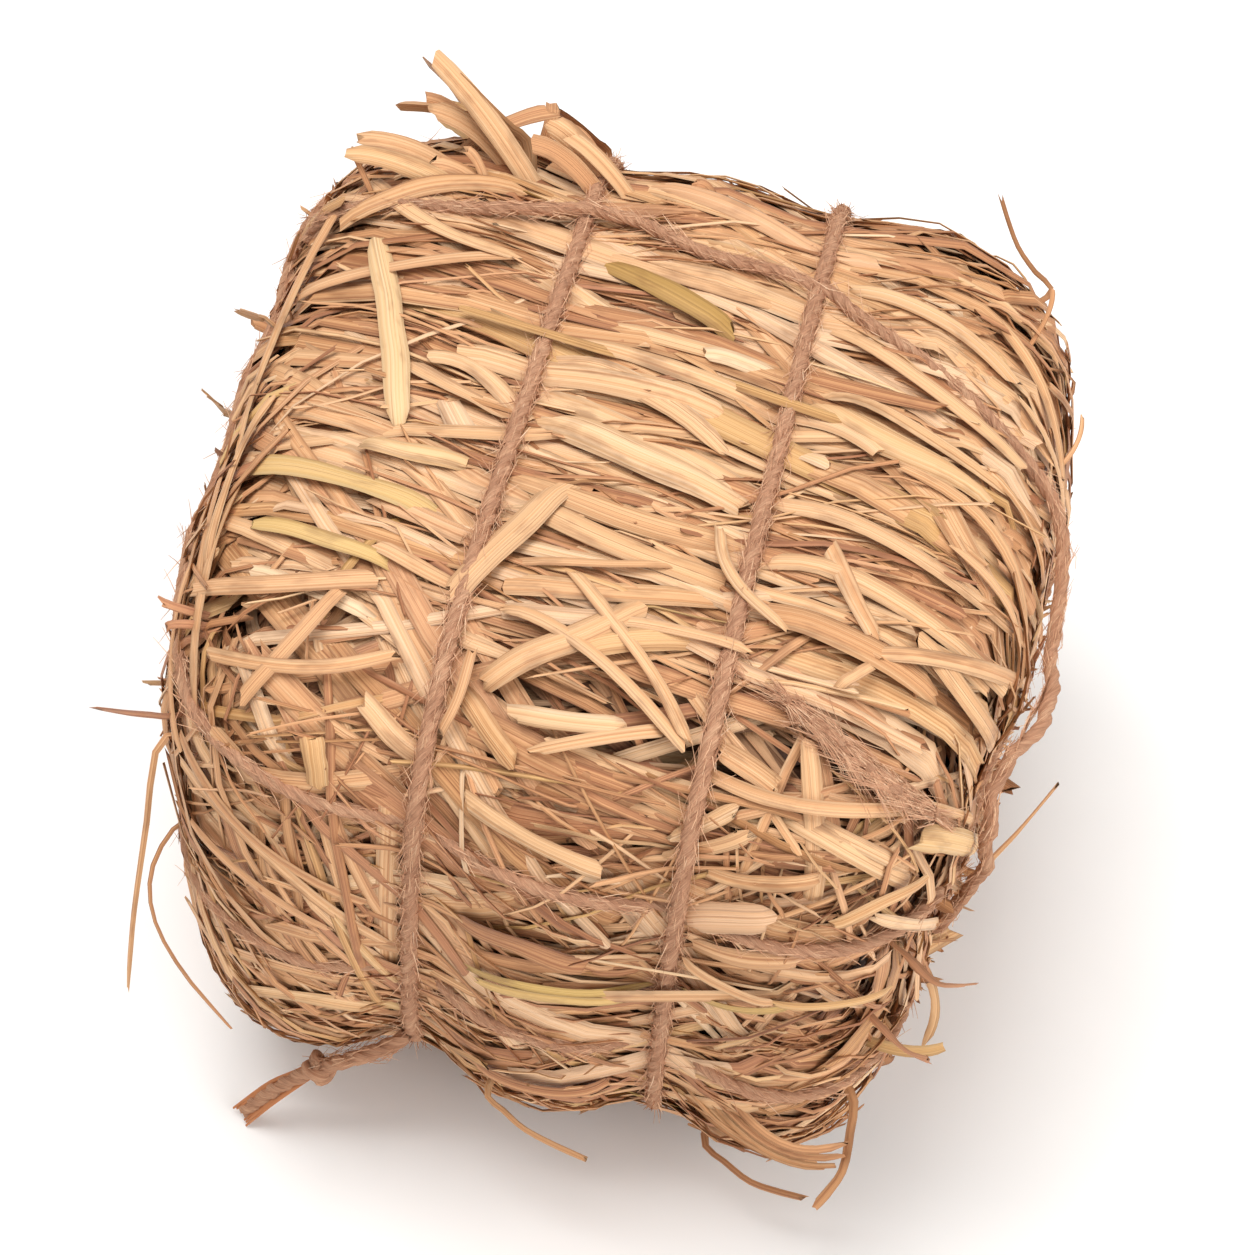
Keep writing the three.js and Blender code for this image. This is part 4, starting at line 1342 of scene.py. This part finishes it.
def standing_straws(rows, stations):
    """Paths for straws that leave the skin: a parabola through three places, the first on the skin and the
    others offset from it in the camera's plane by their pixels. The root is sunk into the bale."""
    pixels = np.array([row[3:] for row in rows], float)
    root = photo_on_skin(pixels[:, 0])
    scale = np.linalg.norm(root - eye, axis=-1)[:, None, None] / FOCAL
    offset = (pixels - pixels[:, :1]) * scale
    knots = root[:, None] + offset[..., :1] * view_right - offset[..., 1:] * view_up
    knots[:, 0] -= STANDING_ROOT * outward(root)
    path = parabola(knots, stations)
    path[..., 2] = np.maximum(path[..., 2], STANDING_GAP)
    return path, np.broadcast_to(STANDING_UP, path.shape)


standing = given_straws(STANDING, *standing_straws(STANDING, STANDING_STATIONS), roll=0.3)
make_piece("standing_straws", [standing], straw_finish)

# %% [markdown]
# ## Floor
# The bale stands on a plain pale floor, wide enough that its edge is never seen. It isn't part of the object,
# so it is not attached to the bale's body. A faint speckle keeps it from being one flat colour.

# %% Floor
FLOOR_REACH = 9

floor_finish, wire = new_material("pale_floor")
speckle = wire.node("ShaderNodeTexCoord", {}, {}, out=3).noise(2.0, 0.5, scale=40.0)
wire.surface({"Base Color": speckle.mix(colour("f4f3f1"), colour("f8f7f5")), "Roughness": 0.9})
floor_corners = [(FLOOR_REACH * x, FLOOR_REACH * y, 0) for x, y in ((-1, -1), (1, -1), (1, 1), (-1, 1))]
floor_mesh = bpy.data.meshes.new("floor")
floor_mesh.from_pydata(floor_corners, [], [(0, 1, 2, 3)])
floor_mesh.materials.append(floor_finish)
floor = show("floor", floor_mesh)
print("floor of", 2 * FLOOR_REACH, "metres each way")

# %% [markdown]
# ## Light
# The photograph's light is broad and soft. A large light above the left side gives the top its brightness,
# weaker ones in front and on the right open the shadows, and a white surrounding does the rest.

# %% Lights
WORLD_STRENGTH = 0.5
# place and side in metres, and power in watts
LIGHTS = {
    "over_left": ((-0.3, 0.0, 1.2), 0.8, 12.8),
    "front_fill": ((0.85, -1.15, 0.7), 1.2, 7.4),
    "right_fill": ((1.0, -0.3, 0.55), 0.9, 5.2),
}
for name, (place, size, watts) in LIGHTS.items():
    light = bpy.data.lights.new(name, "AREA")
    light.size, light.energy = size, watts
    lamp = show(name, light)
    lamp.location = place
    lamp.rotation_euler = (Vector(MIDDLE) - Vector(place)).to_track_quat("-Z", "Y").to_euler()
world = bpy.data.worlds.new("studio")
world.use_nodes = True
world.node_tree.nodes["Background"].inputs["Color"].default_value = (1, 1, 1, 1)
world.node_tree.nodes["Background"].inputs["Strength"].default_value = WORLD_STRENGTH
bpy.context.scene.world = world
print("lights:", ", ".join(LIGHTS))
